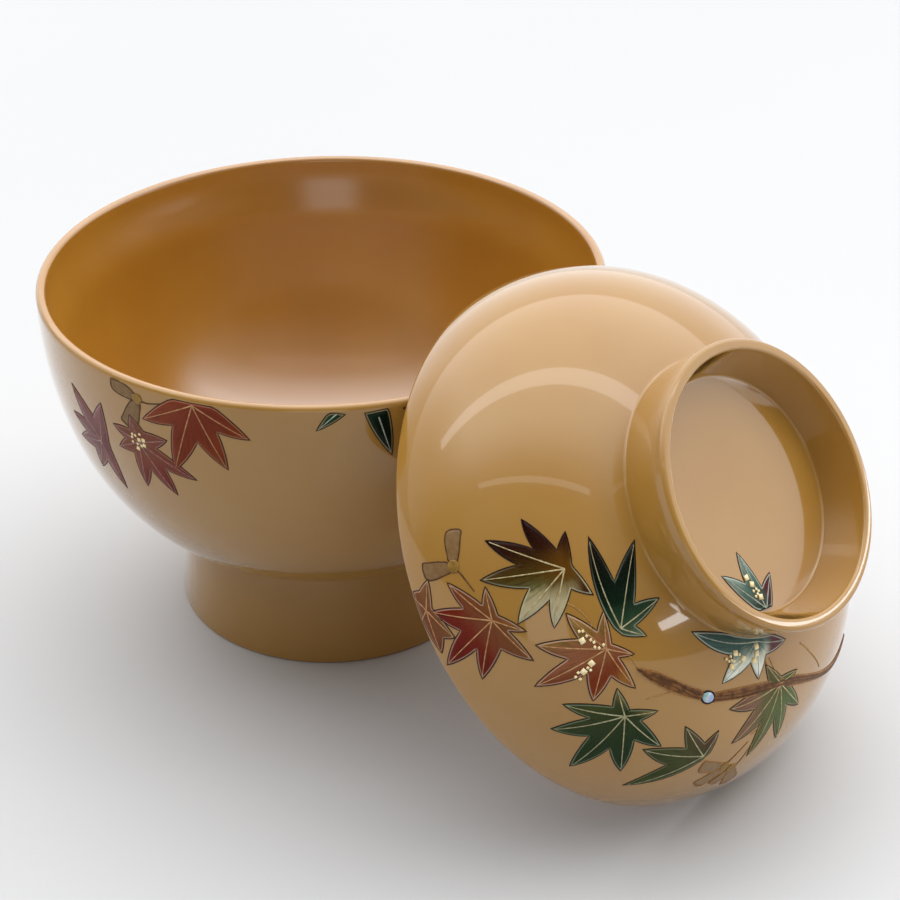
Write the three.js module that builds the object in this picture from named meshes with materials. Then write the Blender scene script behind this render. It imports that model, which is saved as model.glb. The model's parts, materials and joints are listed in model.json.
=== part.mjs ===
// A lidded soup bowl of turned, lacquered wood with maple leaves in raised lacquer.
// The lid is off: its low edge stands on the table and its inside leans on the bowl's rim.
// Millimetres and degrees, +Z up. The origin is on the table, under the middle of the whole,
// and the lid leans out along +X.

import * as THREE from "three";

// Bowl
const RIM_RADIUS = 63;
const BOWL_HEIGHT = 82.5;
const BOWL_LIP = 2.2; // thickness of the rounded rim
const BOWL_WALL = 4.6; // thickness below the lip
const BOWL_LIP_DEPTH = 15; // depth over which the lip grows to the full wall
const BOWL_SIDE_POWER = 2.9; // powers of the outside curve, a superellipse
const BOWL_DEPTH_POWER = 2.14;
const BOWL_FLOOR = 5.7; // thickness of the bottom, above the foot's recess

// Foot, turned in one piece with the bowl
const FOOT_HEIGHT = 21.3;
const NECK_RADIUS = 33.4; // where the foot meets the body
const FOOT_RADIUS = 36.4; // at the table
const FOOT_WALL = 3.4;
const FOOT_EDGE = 0.6; // small chamfer on both sides of the standing edge
const FOOT_FILLET = 2; // in the corner of the recess

// Lid, whose radius follows from its seat in the bowl
const LID_SEAT_DEPTH = 15; // the closed lid's edge rests this far below the bowl's rim
const LID_CLEARANCE = 0.5; // between the closed lid's edge and the bowl's wall
const LID_DOME_HEIGHT = 36.7;
const LID_SIDE_POWER = 2.9;
const LID_DOME_POWER = 1.96;
const LID_LIP = 1.6;
const LID_LIP_DEPTH = 12;
const LID_WALL = 3.2;

// Grip ring, turned in one piece with the lid
const RING_RADIUS = 28.6; // outside, at its lip
const RING_FLARE = 0.5; // the base is narrower than the lip by this much
const RING_RISE = 8.9; // from the recess's floor to the top of the lip
const RING_LIP = 1.6;
const RECESS_TAPER = 2.8; // the recess's floor is narrower than its mouth by this much
const RECESS_FILLET = 1.5; // round the edge of that floor

// Lean of the lid against the bowl
const LID_TILT = 36.6; // angle of the lid's axis above the table
const LEAN_GAP = 0.3; // between the lid and the bowl's rim, where they touch

// Raised lacquer
const LAYER_BED = 0.35; // gap below each layer
const LAYER_THICKNESS = 0.3;
const INLAY_CROWN = 0.3; // rise of the shell's middle above its edge
const SETTING_GAP = 0.5; // between the shell and the branches beside it
const BRANCH_TIP_SHARE = 0.35; // a branch's width at its ends, as a share of its middle's

// Leaves
const LOBE_BELLY_SHARE = 0.56; // where a lobe is widest, as a share of its length
const LOBE_SPREAD_ANGLE = 15; // half of its angle there
const LOBE_ANGLE_SHARE = 0.45; // the most that it takes of the angle to its neighbour
const NOTCH_SHARE = 0.36; // where two lobes part, as a share of the shorter one's length
const OPEN_ANGLE = 100; // lobes further apart than this part at the hub
const HUB_SHARE = 0.06; // size of the hub there, as a share of the leaf's length

// Leaf forms: each lobe is an angle from the leaf's heading and a share of its length.
const OPEN = [[-122, 0.42], [-72, 0.76], [-36, 0.92], [0, 1], [36, 0.92], [72, 0.76], [122, 0.42]];
const NARROW = [[-115, 0.42], [-60, 0.82], [-30, 0.96], [0, 1], [30, 0.92], [60, 0.74], [115, 0.4]];
const FOLDED = [[-140, 0.33], [-85, 0.57], [-38, 0.87], [0, 1]];
const HANGING = [[-62, 0.78], [-20, 1], [24, 0.88], [62, 0.74]];
const BY_RING = [[-83, 1], [-43, 0.7], [12, 0.42], [81, 0.5]];
const IN_RECESS = [[-155, 0.97], [-109, 1], [147, 0.62]];
const SEED_KEY = [[-58, 1], [58, 0.9]];

// Fineness of the faces
const TURN_STEPS = 64;
const CURVE_STEPS = 11;
const ARC_STEPS = 4;
const CURVE_SAMPLES = 60;
const LAYER_RINGS = 3;
const BRANCH_STEPS = 5;
const INLAY_STEPS = 12;
const LEAN_SAMPLES = 720;
const SAME_POINT = 1e-3; // profile points closer than this are one

const rad = THREE.MathUtils.degToRad;

const LACQUER = { color: 0xc9a678, roughness: 0.12, metalness: 0 };
const RED = { color: 0x7d2a1c, roughness: 0.3, metalness: 0.1 };
const PURPLE = { color: 0x6b4046, roughness: 0.3, metalness: 0.1 };
const BROWN = { color: 0x5a4220, roughness: 0.3, metalness: 0.2 };
const GREEN = { color: 0x1f3a22, roughness: 0.3, metalness: 0.1 };
const DARK_GREEN = { color: 0x10241a, roughness: 0.3, metalness: 0.1 };
const PALE_GREEN = { color: 0x8a9a86, roughness: 0.3, metalness: 0.3 };
const WOOD_BROWN = { color: 0x7a5232, roughness: 0.4, metalness: 0.1 };
const SEED_TAN = { color: 0xa58a5c, roughness: 0.4, metalness: 0.3 };
const SHELL = { color: 0xc4d4f4, roughness: 0.15, metalness: 0 };

function mesh(name, geometry, finish) {
  const made = new THREE.Mesh(geometry, new THREE.MeshStandardMaterial(finish));
  made.name = name;
  return made;
}

// A quarter of a superellipse as (radius, depth) points, from the rim to the axis.
function superellipse(radius, depth, sidePower, depthPower) {
  return Array.from({ length: CURVE_SAMPLES + 1 }, (_, i) => {
    const angle = (i / CURVE_SAMPLES) * (Math.PI / 2);
    const across = i === CURVE_SAMPLES ? 0 : Math.cos(angle) ** (2 / sidePower);
    return new THREE.Vector2(radius * across, depth * Math.sin(angle) ** (2 / depthPower));
  });
}

// The curve moved inwards by a wall that grows from a lip to its full thickness.
function innerCurve(points, lip, wall, lipDepth) {
  const curve = new THREE.SplineCurve(points);
  return points.map((point, i) => {
    const tangent = curve.getTangent(i / (points.length - 1));
    const thickness = lip + (wall - lip) * THREE.MathUtils.smoothstep(point.y, 0, lipDepth);
    const inner = new THREE.Vector2(point.x - tangent.y * thickness, point.y + tangent.x * thickness);
    if (point.x === 0) inner.x = 0;
    return inner;
  });
}

// The part of a curve from the rim down to a radius, which it reaches exactly.
function curveDownTo(points, radius) {
  const last = points.findIndex((p) => p.x < radius);
  const [a, b] = [points[last - 1], points[last]];
  return [...points.slice(0, last), a.clone().lerp(b, (a.x - radius) / (a.x - b.x))];
}

// The radius of a curve at a depth below its rim.
function radiusAt(points, depth) {
  const next = points.findIndex((p) => p.y > depth);
  const [a, b] = [points[next - 1], points[next]];
  return THREE.MathUtils.mapLinear(depth, a.y, b.y, a.x, b.x);
}

function spaced(points) {
  return new THREE.SplineCurve(points).getSpacedPoints(CURVE_STEPS);
}

function arc(x, y, radius, from, to, clockwise) {
  return new THREE.EllipseCurve(x, y, radius, radius, from, to, clockwise).getPoints(ARC_STEPS);
}

// A profile of (radius, height) points turned about +Z.
function turned(profile) {
  const points = profile.filter((p, i) => i === 0 || p.distanceTo(profile[i - 1]) > SAME_POINT);
  return new THREE.LatheGeometry(points, TURN_STEPS).rotateX(Math.PI / 2);
}

// A turned face that carries decoration, known by its meridian of (radius, height) points,
// walked with the outside on the left. Drawings for it are laid out in millimetres on a face
// with the drawn reach about the axis and the drawn length, and stretch with the real one.
class TurnedFace {
  constructor(meridian, drawn) {
    this.meridian = new THREE.SplineCurve(meridian);
    this.drawn = drawn;
    this.stretch = Math.max(...meridian.map((p) => p.x)) / drawn.reach;
  }

  // The point of a drawing that is across and along from a hub, lifted off the face.
  point(hub, across, along, lift) {
    const share = THREE.MathUtils.clamp(hub.share + along / this.drawn.length, 0, 1);
    const foot = this.meridian.getPointAt(share);
    const tangent = this.meridian.getTangentAt(share);
    const turn = rad(hub.turn) + (across * this.stretch) / foot.x;
    const radius = foot.x - tangent.y * lift;
    return new THREE.Vector3(
      radius * Math.cos(turn),
      radius * Math.sin(turn),
      foot.y + tangent.x * lift,
    );
  }

  // The hub at a distance from another one, the way that a heading points.
  hubFrom(hub, heading, distance) {
    const step = polar(heading, distance);
    const share = hub.share + step.y / this.drawn.length;
    const radius = this.meridian.getPointAt(share).x;
    return { share, turn: hub.turn + THREE.MathUtils.radToDeg((step.x * this.stretch) / radius) };
  }
}

// A drawing's step from a hub: heading 0 goes along the face, and 90 goes with the turn.
function polar(heading, reach) {
  return new THREE.Vector2(Math.sin(rad(heading)), Math.cos(rad(heading))).multiplyScalar(reach);
}

// A closed layer on a face, with rings of points from its hub to an outline that its hub can see.
// Its crown is how much thicker it is at the hub than at its edge.
function layer(face, hub, outline, crown = 0) {
  const positions = [];
  const index = [];
  const count = outline.length;
  const put = (across, along, lift) => {
    positions.push(...face.point(hub, across, along, lift).toArray());
    return positions.length / 3 - 1;
  };
  const side = (edgeLift, hubLift) => {
    const centre = put(0, 0, hubLift);
    const rings = Array.from({ length: LAYER_RINGS }, (_, i) => {
      const reach = (i + 1) / LAYER_RINGS;
      const lift = THREE.MathUtils.lerp(hubLift, edgeLift, reach);
      return outline.map((p) => put(p.x * reach, p.y * reach, lift));
    });
    return { centre, rings };
  };
  const low = side(LAYER_BED, LAYER_BED);
  const high = side(LAYER_BED + LAYER_THICKNESS, LAYER_BED + LAYER_THICKNESS + crown);
  const edge = LAYER_RINGS - 1;
  for (let i = 0; i < count; i++) {
    const next = (i + 1) % count;
    index.push(high.centre, high.rings[0][i], high.rings[0][next]);
    index.push(low.centre, low.rings[0][next], low.rings[0][i]);
    for (let ring = 0; ring < edge; ring++) {
      const [a, b] = [high.rings[ring], high.rings[ring + 1]];
      index.push(a[i], b[i], a[next], a[next], b[i], b[next]);
      const [c, d] = [low.rings[ring], low.rings[ring + 1]];
      index.push(c[i], c[next], d[i], c[next], d[next], d[i]);
    }
    const [top, bottom] = [high.rings[edge], low.rings[edge]];
    index.push(top[i], bottom[i], top[next], top[next], bottom[i], bottom[next]);
  }
  const geometry = new THREE.BufferGeometry();
  geometry.setAttribute("position", new THREE.Float32BufferAttribute(positions, 3));
  geometry.setIndex(index);
  geometry.computeVertexNormals();
  return geometry;
}

// The outline of a leaf about its hub: pointed lobes with notches between them.
function leafOutline({ form, heading, length }) {
  const [first, last] = [form[0], form.at(-1)];
  const points = [];
  form.forEach(([angle, share], i) => {
    const [nextAngle, nextShare] = form[i + 1] ?? [first[0] + 360, first[1]];
    const before = angle - (i > 0 ? form[i - 1][0] : last[0] - 360);
    const after = nextAngle - angle;
    const reach = share * length;
    const spreadBefore = Math.min(LOBE_SPREAD_ANGLE, before * LOBE_ANGLE_SHARE);
    const spreadAfter = Math.min(LOBE_SPREAD_ANGLE, after * LOBE_ANGLE_SHARE);
    points.push(polar(heading + angle - spreadBefore, reach * LOBE_BELLY_SHARE));
    points.push(polar(heading + angle, reach));
    points.push(polar(heading + angle + spreadAfter, reach * LOBE_BELLY_SHARE));
    if (after < OPEN_ANGLE) {
      points.push(polar(heading + angle + after / 2, Math.min(share, nextShare) * length * NOTCH_SHARE));
      return;
    }
    const steps = Math.ceil(after / OPEN_ANGLE);
    for (let k = 1; k <= steps; k++) {
      points.push(polar(heading + angle + (after * k) / (steps + 1), length * HUB_SHARE));
    }
  });
  return points;
}

// The outline of a slender branch about its middle, tapered to both ends.
function branchOutline({ heading, length, width }) {
  const steps = Array.from({ length: BRANCH_STEPS + 1 }, (_, i) => i / BRANCH_STEPS);
  const half = (t) => (width / 2) * THREE.MathUtils.lerp(BRANCH_TIP_SHARE, 1, Math.sin(Math.PI * t));
  const edge = (t, side) => polar(heading, length * (t - 0.5)).add(polar(heading + 90, side * half(t)));
  return [...steps.map((t) => edge(t, -1)), ...steps.reverse().map((t) => edge(t, 1))];
}

function ellipseOutline({ length, width }) {
  const ellipse = new THREE.EllipseCurve(0, 0, length / 2, width / 2, 0, 2 * Math.PI, true);
  return ellipse.getSpacedPoints(INLAY_STEPS).slice(0, INLAY_STEPS);
}

// Bowl: outside curve, inside curve and the profile that is turned.
const bowlTop = BOWL_HEIGHT - BOWL_LIP / 2;
const bowlDepth =
  (bowlTop - FOOT_HEIGHT) / (1 - (NECK_RADIUS / RIM_RADIUS) ** BOWL_SIDE_POWER) ** (1 / BOWL_DEPTH_POWER);
const bowlCurve = superellipse(RIM_RADIUS, bowlDepth, BOWL_SIDE_POWER, BOWL_DEPTH_POWER);
const bowlInside = innerCurve(bowlCurve, BOWL_LIP, BOWL_WALL, BOWL_LIP_DEPTH);
const inBowl = (points) => points.map((p) => new THREE.Vector2(p.x, bowlTop - p.y));
const bowlOutside = inBowl(curveDownTo(bowlCurve, NECK_RADIUS));

function bowlProfile() {
  const ceiling = bowlTop - bowlInside.at(-1).y - BOWL_FLOOR;
  const corner = NECK_RADIUS - FOOT_WALL - FOOT_FILLET;
  const standing = FOOT_RADIUS - FOOT_WALL;
  return [
    new THREE.Vector2(0, ceiling),
    ...arc(corner, ceiling - FOOT_FILLET, FOOT_FILLET, Math.PI / 2, 0, true),
    new THREE.Vector2(standing - FOOT_EDGE, FOOT_EDGE),
    new THREE.Vector2(standing, 0),
    new THREE.Vector2(FOOT_RADIUS - FOOT_EDGE, 0),
    new THREE.Vector2(FOOT_RADIUS, FOOT_EDGE),
    ...spaced(bowlOutside).reverse(),
    ...arc(RIM_RADIUS - BOWL_LIP / 2, bowlTop, BOWL_LIP / 2, 0, Math.PI, false),
    ...spaced(inBowl(bowlInside)),
  ];
}

// Lid: its rim's radius is what fits the bowl's inside at the depth of its seat.
const lidRadius = radiusAt(bowlInside, LID_SEAT_DEPTH - BOWL_LIP / 2) - LID_CLEARANCE;
const domeHeight = LID_DOME_HEIGHT - LID_LIP / 2;
const lidCurve = superellipse(lidRadius, domeHeight, LID_SIDE_POWER, LID_DOME_POWER);
const lidInside = innerCurve(lidCurve, LID_LIP, LID_WALL, LID_LIP_DEPTH);
const inLid = (points) => points.map((p) => new THREE.Vector2(p.x, p.y + LID_LIP / 2));
const ringBase = RING_RADIUS - RING_FLARE;
const recessFlat = RING_RADIUS - RING_LIP - RECESS_TAPER - RECESS_FILLET;
const lidOutside = inLid(curveDownTo(lidCurve, ringBase));

function lidProfile() {
  const lip = RING_LIP / 2;
  const lipHeight = LID_DOME_HEIGHT + RING_RISE - lip;
  const filletHeight = LID_DOME_HEIGHT + RECESS_FILLET;
  return [
    ...spaced(inLid(lidInside)).reverse(),
    ...arc(lidRadius - LID_LIP / 2, LID_LIP / 2, LID_LIP / 2, -Math.PI, 0, false),
    ...spaced(lidOutside),
    ...arc(RING_RADIUS - lip, lipHeight, lip, 0, Math.PI, false),
    ...arc(recessFlat, filletHeight, RECESS_FILLET, 0, -Math.PI / 2, true),
    new THREE.Vector2(0, LID_DOME_HEIGHT),
  ];
}

// Where the lid leans: its rim's centre, measured from the bowl's axis on the table. The lid
// stands on its lowest point, and its inside stays a gap clear of the bowl's round rim.
function leanPlace() {
  const [c, s] = [Math.cos(rad(LID_TILT)), Math.sin(rad(LID_TILT))];
  const height = Math.max(...lidProfile().map((p) => p.x * c - p.y * s));
  const rimRadiusAt = (z) => {
    const over = z - bowlTop;
    if (over > 0) return RIM_RADIUS - BOWL_LIP / 2 + Math.sqrt((BOWL_LIP / 2) ** 2 - over ** 2);
    return RIM_RADIUS * (1 - (-over / bowlDepth) ** BOWL_DEPTH_POWER) ** (1 / BOWL_SIDE_POWER);
  };
  let distance = 0;
  for (const p of [...spaced(inLid(lidInside)), new THREE.Vector2(lidRadius - LID_LIP / 2, 0)]) {
    for (let i = 0; i < LEAN_SAMPLES; i++) {
      const around = (i / LEAN_SAMPLES - 0.5) * Math.PI;
      const up = p.x * Math.sin(around);
      const y = p.x * Math.cos(around);
      const z = height + up * c + p.y * s;
      if (z <= FOOT_HEIGHT || z >= BOWL_HEIGHT) continue;
      const clear = rimRadiusAt(z) + LEAN_GAP;
      if (y < clear) distance = Math.max(distance, up * s - p.y * c + Math.sqrt(clear ** 2 - y ** 2));
    }
  }
  return new THREE.Vector3(distance, 0, height);
}

// Faces that carry the decoration, each with the size that its drawings were laid out for.
const domeFace = new TurnedFace([...lidOutside].reverse(), { reach: 57, length: 47.6 });
const bowlFace = new TurnedFace(bowlOutside, { reach: 63, length: 74 });
const recessFace = new TurnedFace(
  [new THREE.Vector2(0, LID_DOME_HEIGHT), new THREE.Vector2(recessFlat, LID_DOME_HEIGHT)],
  { reach: 22.7, length: 22.7 },
);

// Each leaf or seed key: the share of the face's length and the turn at which its hub lies,
// then its form, its heading, its length and its finish.
const LID_LEAVES = {
  lid_leaf_brown: { share: 0.34, turn: -98.5, form: NARROW, heading: -8, length: 16, finish: BROWN },
  lid_leaf_dark: { share: 0.26, turn: -77, form: FOLDED, heading: -98, length: 17.5, finish: DARK_GREEN },
  lid_leaf_red: { share: 0.68, turn: -94, form: OPEN, heading: 10, length: 14, finish: RED },
  lid_leaf_red_gold: { share: 0.355, turn: -75.5, form: OPEN, heading: -6, length: 14, finish: RED },
  lid_leaf_green: { share: 0.53, turn: -58.5, form: OPEN, heading: 6, length: 15, finish: GREEN },
  lid_leaf_green_side: { share: 0.54, turn: -31, form: FOLDED, heading: -42, length: 16, finish: GREEN },
  lid_leaf_green_purple: { share: 0.23, turn: -12, form: NARROW, heading: -14, length: 16.5, finish: GREEN },
  lid_leaf_by_ring: { share: 0.05, turn: -25, form: BY_RING, heading: 0, length: 17, finish: PALE_GREEN },
  lid_seed_key_upper: { share: 0.76, turn: -106.5, form: SEED_KEY, heading: -55, length: 7, finish: SEED_TAN },
  lid_seed_key_lower: { share: 0.65, turn: -24, form: SEED_KEY, heading: 20, length: 8, finish: SEED_TAN },
};
const RECESS_LEAVES = {
  lid_leaf_in_recess: { share: 0.95, turn: -22, form: IN_RECESS, heading: 0, length: 11, finish: PALE_GREEN },
};
const BOWL_LEAVES = {
  bowl_leaf_purple: { share: 0.26, turn: -100, form: OPEN, heading: -10, length: 13, finish: PURPLE },
  bowl_leaf_red: { share: 0.2, turn: -85.5, form: OPEN, heading: 20, length: 12.5, finish: RED },
  bowl_leaf_red_rim: { share: 0.02, turn: -71.5, form: HANGING, heading: 0, length: 17, finish: RED },
  bowl_leaf_green_rim: { share: 0.02, turn: -40, form: HANGING, heading: 0, length: 12, finish: DARK_GREEN },
  bowl_seed_key: { share: 0.05, turn: -86, form: SEED_KEY, heading: -30, length: 6, finish: SEED_TAN },
};

// The shell inlay, and the branches that run from its ends.
const INLAY = { share: 0.27, turn: -41, length: 3.4, width: 2.4 };
const BRANCHES = {
  lid_branch_left: { heading: -83, length: 15, width: 2.4, finish: WOOD_BROWN },
  lid_branch_right: { heading: 103, length: 10.5, width: 2.2, finish: WOOD_BROWN },
};

function leafMeshes(face, leaves) {
  return Object.entries(leaves).map(([name, leaf]) => {
    return mesh(name, layer(face, leaf, leafOutline(leaf)), leaf.finish);
  });
}

function branchMeshes() {
  return Object.entries(BRANCHES).map(([name, branch]) => {
    const distance = (INLAY.length + branch.length) / 2 + SETTING_GAP;
    const hub = domeFace.hubFrom(INLAY, branch.heading, distance);
    return mesh(name, layer(domeFace, hub, branchOutline(branch)), branch.finish);
  });
}

const bowl = new THREE.Group();
bowl.add(mesh("bowl", turned(bowlProfile()), LACQUER), ...leafMeshes(bowlFace, BOWL_LEAVES));

const lid = new THREE.Group();
lid.add(
  mesh("lid", turned(lidProfile()), LACQUER),
  mesh("shell_inlay", layer(domeFace, INLAY, ellipseOutline(INLAY), INLAY_CROWN), SHELL),
  ...leafMeshes(domeFace, LID_LEAVES),
  ...leafMeshes(recessFace, RECESS_LEAVES),
  ...branchMeshes(),
);
lid.position.copy(leanPlace());
lid.rotation.y = rad(90 - LID_TILT);

// The middle of the bowl and the leaning lid is put over the origin.
const part = new THREE.Group();
part.add(bowl, lid);
part.updateMatrixWorld(true);
const extent = new THREE.Box3().setFromObject(part, true);
part.position.x = -(extent.min.x + extent.max.x) / 2;

export default part;
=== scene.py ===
"""The looks of a lidded lacquer bowl. The bowl stands on its high foot and the lid leans on its
rim. Both carry maple leaves, seed keys and a branch in raised lacquer with gold lines."""

import json
import logging
import math
from dataclasses import dataclass
from enum import Enum
from functools import cache

import bpy
import numpy as np
from mathutils import Matrix, Vector


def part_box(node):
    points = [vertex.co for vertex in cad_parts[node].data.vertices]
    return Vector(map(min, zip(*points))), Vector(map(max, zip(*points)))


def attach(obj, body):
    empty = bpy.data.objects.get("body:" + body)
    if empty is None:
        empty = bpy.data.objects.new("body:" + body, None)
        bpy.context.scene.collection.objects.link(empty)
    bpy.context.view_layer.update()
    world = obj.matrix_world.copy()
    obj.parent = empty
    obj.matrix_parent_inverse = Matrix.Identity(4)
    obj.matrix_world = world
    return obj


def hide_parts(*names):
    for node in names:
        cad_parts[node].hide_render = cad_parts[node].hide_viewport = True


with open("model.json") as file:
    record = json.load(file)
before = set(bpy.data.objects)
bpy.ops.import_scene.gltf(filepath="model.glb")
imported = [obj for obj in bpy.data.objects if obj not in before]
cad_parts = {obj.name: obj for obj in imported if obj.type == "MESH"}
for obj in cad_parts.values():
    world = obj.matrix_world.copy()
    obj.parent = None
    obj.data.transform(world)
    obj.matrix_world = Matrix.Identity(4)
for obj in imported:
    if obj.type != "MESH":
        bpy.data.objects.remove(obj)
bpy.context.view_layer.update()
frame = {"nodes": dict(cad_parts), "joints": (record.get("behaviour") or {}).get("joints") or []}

LOG = logging.getLogger("lacquer_bowl")

MM = 0.001
WELD = 0.000002
SMOOTH_ANGLE = math.radians(35)
TURN_STEPS = 192
CURVE_STEPS = 64
FACE_STEPS = 200
ARC_STEPS = 10
LINE_STEP = 0.7
LINE_FLATNESS = 0.5
LEAST_SQUARE = 1e-12
RIM_SLACK = 1e-6

DRAWING_MAP = "drawing"
DRAWING_SPAN = 50.0
EDGE_NAME = "edge"

Piece = bpy.types.Object
Material = bpy.types.Material
Point = tuple[float, float]
Spot = tuple[float, float, float]
Colour = tuple[float, float, float, float]
Stops = tuple[tuple[float, str], ...]


def paint(code: str) -> Colour:
    """A colour for a shader.

    Args:
        code: The colour as a screen shows it, as six hexadecimal digits.

    Returns:
        The colour in linear light, opaque.
    """
    levels = [int(code[i : i + 2], 16) / 255 for i in (0, 2, 4)]
    linear = [v / 12.92 if v <= 0.04045 else ((v + 0.055) / 1.055) ** 2.4 for v in levels]
    return (linear[0], linear[1], linear[2], 1.0)


def smoothstep(value: np.ndarray, start: float, end: float) -> np.ndarray:
    """A smooth climb from 0 at the start to 1 at the end."""
    share = np.clip((np.asarray(value, float) - start) / (end - start), 0, 1)
    return share * share * (3 - 2 * share)


# Shaders


class Wire:
    """A socket of a shader. Arithmetic on it adds Math nodes."""

    def __init__(self, shader: "Shader", socket: bpy.types.NodeSocket) -> None:
        """Wraps a socket of a shader's tree."""
        self.shader = shader
        self.socket = socket

    def maths(self, operation: str, first: "Wire | float", second: "Wire | float") -> "Wire":
        """Adds a Math node for an operation on two values."""
        return self.shader.node("ShaderNodeMath", {"operation": operation}, {0: first, 1: second})

    def __add__(self, other: "Wire | float") -> "Wire":
        """The sum with a value or a wire."""
        return self.maths("ADD", self, other)

    def __radd__(self, other: float) -> "Wire":
        """The sum with a value on the left."""
        return self.maths("ADD", other, self)

    def __sub__(self, other: "Wire | float") -> "Wire":
        """The difference from a value or a wire."""
        return self.maths("SUBTRACT", self, other)

    def __rsub__(self, other: float) -> "Wire":
        """A value less this wire."""
        return self.maths("SUBTRACT", other, self)

    def __mul__(self, other: "Wire | float") -> "Wire":
        """The product with a value or a wire."""
        return self.maths("MULTIPLY", self, other)

    def __rmul__(self, other: float) -> "Wire":
        """The product with a value on the left."""
        return self.maths("MULTIPLY", other, self)

    def climb(self, start: float, end: float) -> "Wire":
        """A smooth climb over this wire's values, from 0 at the start to 1 at the end."""
        settings = {"interpolation_type": "SMOOTHSTEP"}
        return self.shader.node("ShaderNodeMapRange", settings, {0: self, 1: start, 2: end})


class Shader:
    """A node tree under construction."""

    def __init__(self, tree: bpy.types.NodeTree) -> None:
        """Wraps the tree of a material or of the world."""
        self.tree = tree

    def feed(self, socket: bpy.types.NodeSocket, value: Wire | float | Colour) -> None:
        """Links a wire to a socket, or sets a fixed value on it.

        Args:
            socket: The socket.
            value: The wire or the value.
        """
        if isinstance(value, Wire):
            self.tree.links.new(value.socket, socket)
        else:
            socket.default_value = value

    def node(self, kind: str, settings: dict, inputs: dict, output: int | str = 0) -> Wire:
        """Adds a node.

        Args:
            kind: The node's type.
            settings: Its properties. The stops of a ramp are pairs of place and colour.
            inputs: Values or wires by the socket's name or number.
            output: The socket to give back, by name or number.

        Returns:
            That output.
        """
        made = self.tree.nodes.new(kind)
        for name, value in settings.items():
            if name == "stops":
                elements = made.color_ramp.elements
                while len(elements) < len(value):
                    elements.new(1.0)
                for element, (place, colour) in zip(elements, value):
                    element.position = place
                    element.color = colour
            else:
                setattr(made, name, value)
        for key, value in inputs.items():
            self.feed(made.inputs[key], value)
        return Wire(self, made.outputs[output])

    def blend(self, share: Wire | float, first: Wire | Colour, second: Wire | Colour) -> Wire:
        """Mixes two colours, the first at a share of 0 and the second at 1."""
        return self.node("ShaderNodeMix", {"data_type": "RGBA"}, {0: share, 6: first, 7: second}, 2)

    def ramp(self, place: Wire, stops: list[tuple[float, Colour]]) -> Wire:
        """A ramp of colours, read at a place between 0 and 1."""
        return self.node("ShaderNodeValToRGB", {"stops": stops}, {0: place})

    def place(self) -> Wire:
        """Where a point is on the object."""
        return self.node("ShaderNodeTexCoord", {}, {}, "Object")

    def vector(self, operation: str, *inputs: Wire | Spot, output: int = 0) -> Wire:
        """A Vector Math node's vector, or its number as output 1."""
        return self.node("ShaderNodeVectorMath", {"operation": operation}, dict(enumerate(inputs)), output)

    def axis(self, vector: Wire, name: str) -> Wire:
        """One part of a vector, by the name of its axis."""
        return self.node("ShaderNodeSeparateXYZ", {}, {0: vector}, name)

    def noise(self, place: Wire, scale: float, detail: float = 2.0) -> Wire:
        """Soft noise about 0.5, with its blots to the unit and its finer layers."""
        return self.node("ShaderNodeTexNoise", {}, {"Vector": place, "Scale": scale, "Detail": detail})

    def bump(self, height: Wire, strength: float, distance: float) -> Wire:
        """A normal bumped by a height, with its strength and its distance in metres."""
        values = {"Strength": strength, "Distance": distance, "Height": height}
        return self.node("ShaderNodeBump", {}, values)


SOCKETS = {
    "colour": "Base Color",
    "metallic": "Metallic",
    "roughness": "Roughness",
    "mirror": "Specular IOR Level",
    "coat": "Coat Weight",
    "coat_roughness": "Coat Roughness",
    "refraction": "Coat IOR",
    "normal": "Normal",
}


class Surface(Shader):
    """A material under construction, with one principled surface."""

    def __init__(self, name: str) -> None:
        """Starts the material.

        Args:
            name: The material's name.
        """
        self.material = bpy.data.materials.new(name)
        self.material.use_nodes = True
        super().__init__(self.material.node_tree)

    def dress(self, **values: Wire | float) -> Material:
        """Sets the surface.

        Args:
            values: Values or wires by the names in SOCKETS.

        Returns:
            The finished material.
        """
        sockets = self.tree.nodes["Principled BSDF"].inputs
        for name, value in values.items():
            self.feed(sockets[SOCKETS[name]], value)
        return self.material


# Finishes

CLOUD_RUN = (0.3, 0.7)


class Gloss(Enum):
    """How a coat is polished: roughness, mirror share, coat roughness and the coat's refraction."""

    POLISHED = (0.14, 0.2, 0.02, 1.5)
    SATIN = (0.42, 0.15, 0.22, 1.95)


@dataclass(frozen=True)
class GroundLacquer:
    """The tan lacquer that covers the turned wood."""

    name: str
    slot: str
    gloss: Gloss
    colour: str = "a87d38"
    deep: str = "a47732"
    cloud_scale: float = 38.0
    cloud_detail: float = 3.0
    cloud_polish: float = 0.04
    peel_scale: float = 900.0
    peel_detail: float = 1.0
    peel_bump: Point = (0.03, 0.00002)

    def material(self) -> Material:
        """Builds faint clouds in the colour and a trace of orange peel in the polish.

        Returns:
            The material.
        """
        shader = Surface(self.name)
        place = shader.place()
        clouds = shader.noise(place, self.cloud_scale, self.cloud_detail)
        peel = shader.noise(place, self.peel_scale, self.peel_detail)
        roughness, mirror, coat_roughness, refraction = self.gloss.value
        return shader.dress(
            colour=shader.blend(clouds.climb(*CLOUD_RUN), paint(self.colour), paint(self.deep)),
            roughness=roughness + self.cloud_polish * (clouds - 0.5),
            mirror=mirror,
            coat=1.0,
            coat_roughness=coat_roughness,
            refraction=refraction,
            normal=shader.bump(peel, *self.peel_bump),
        )


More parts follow.
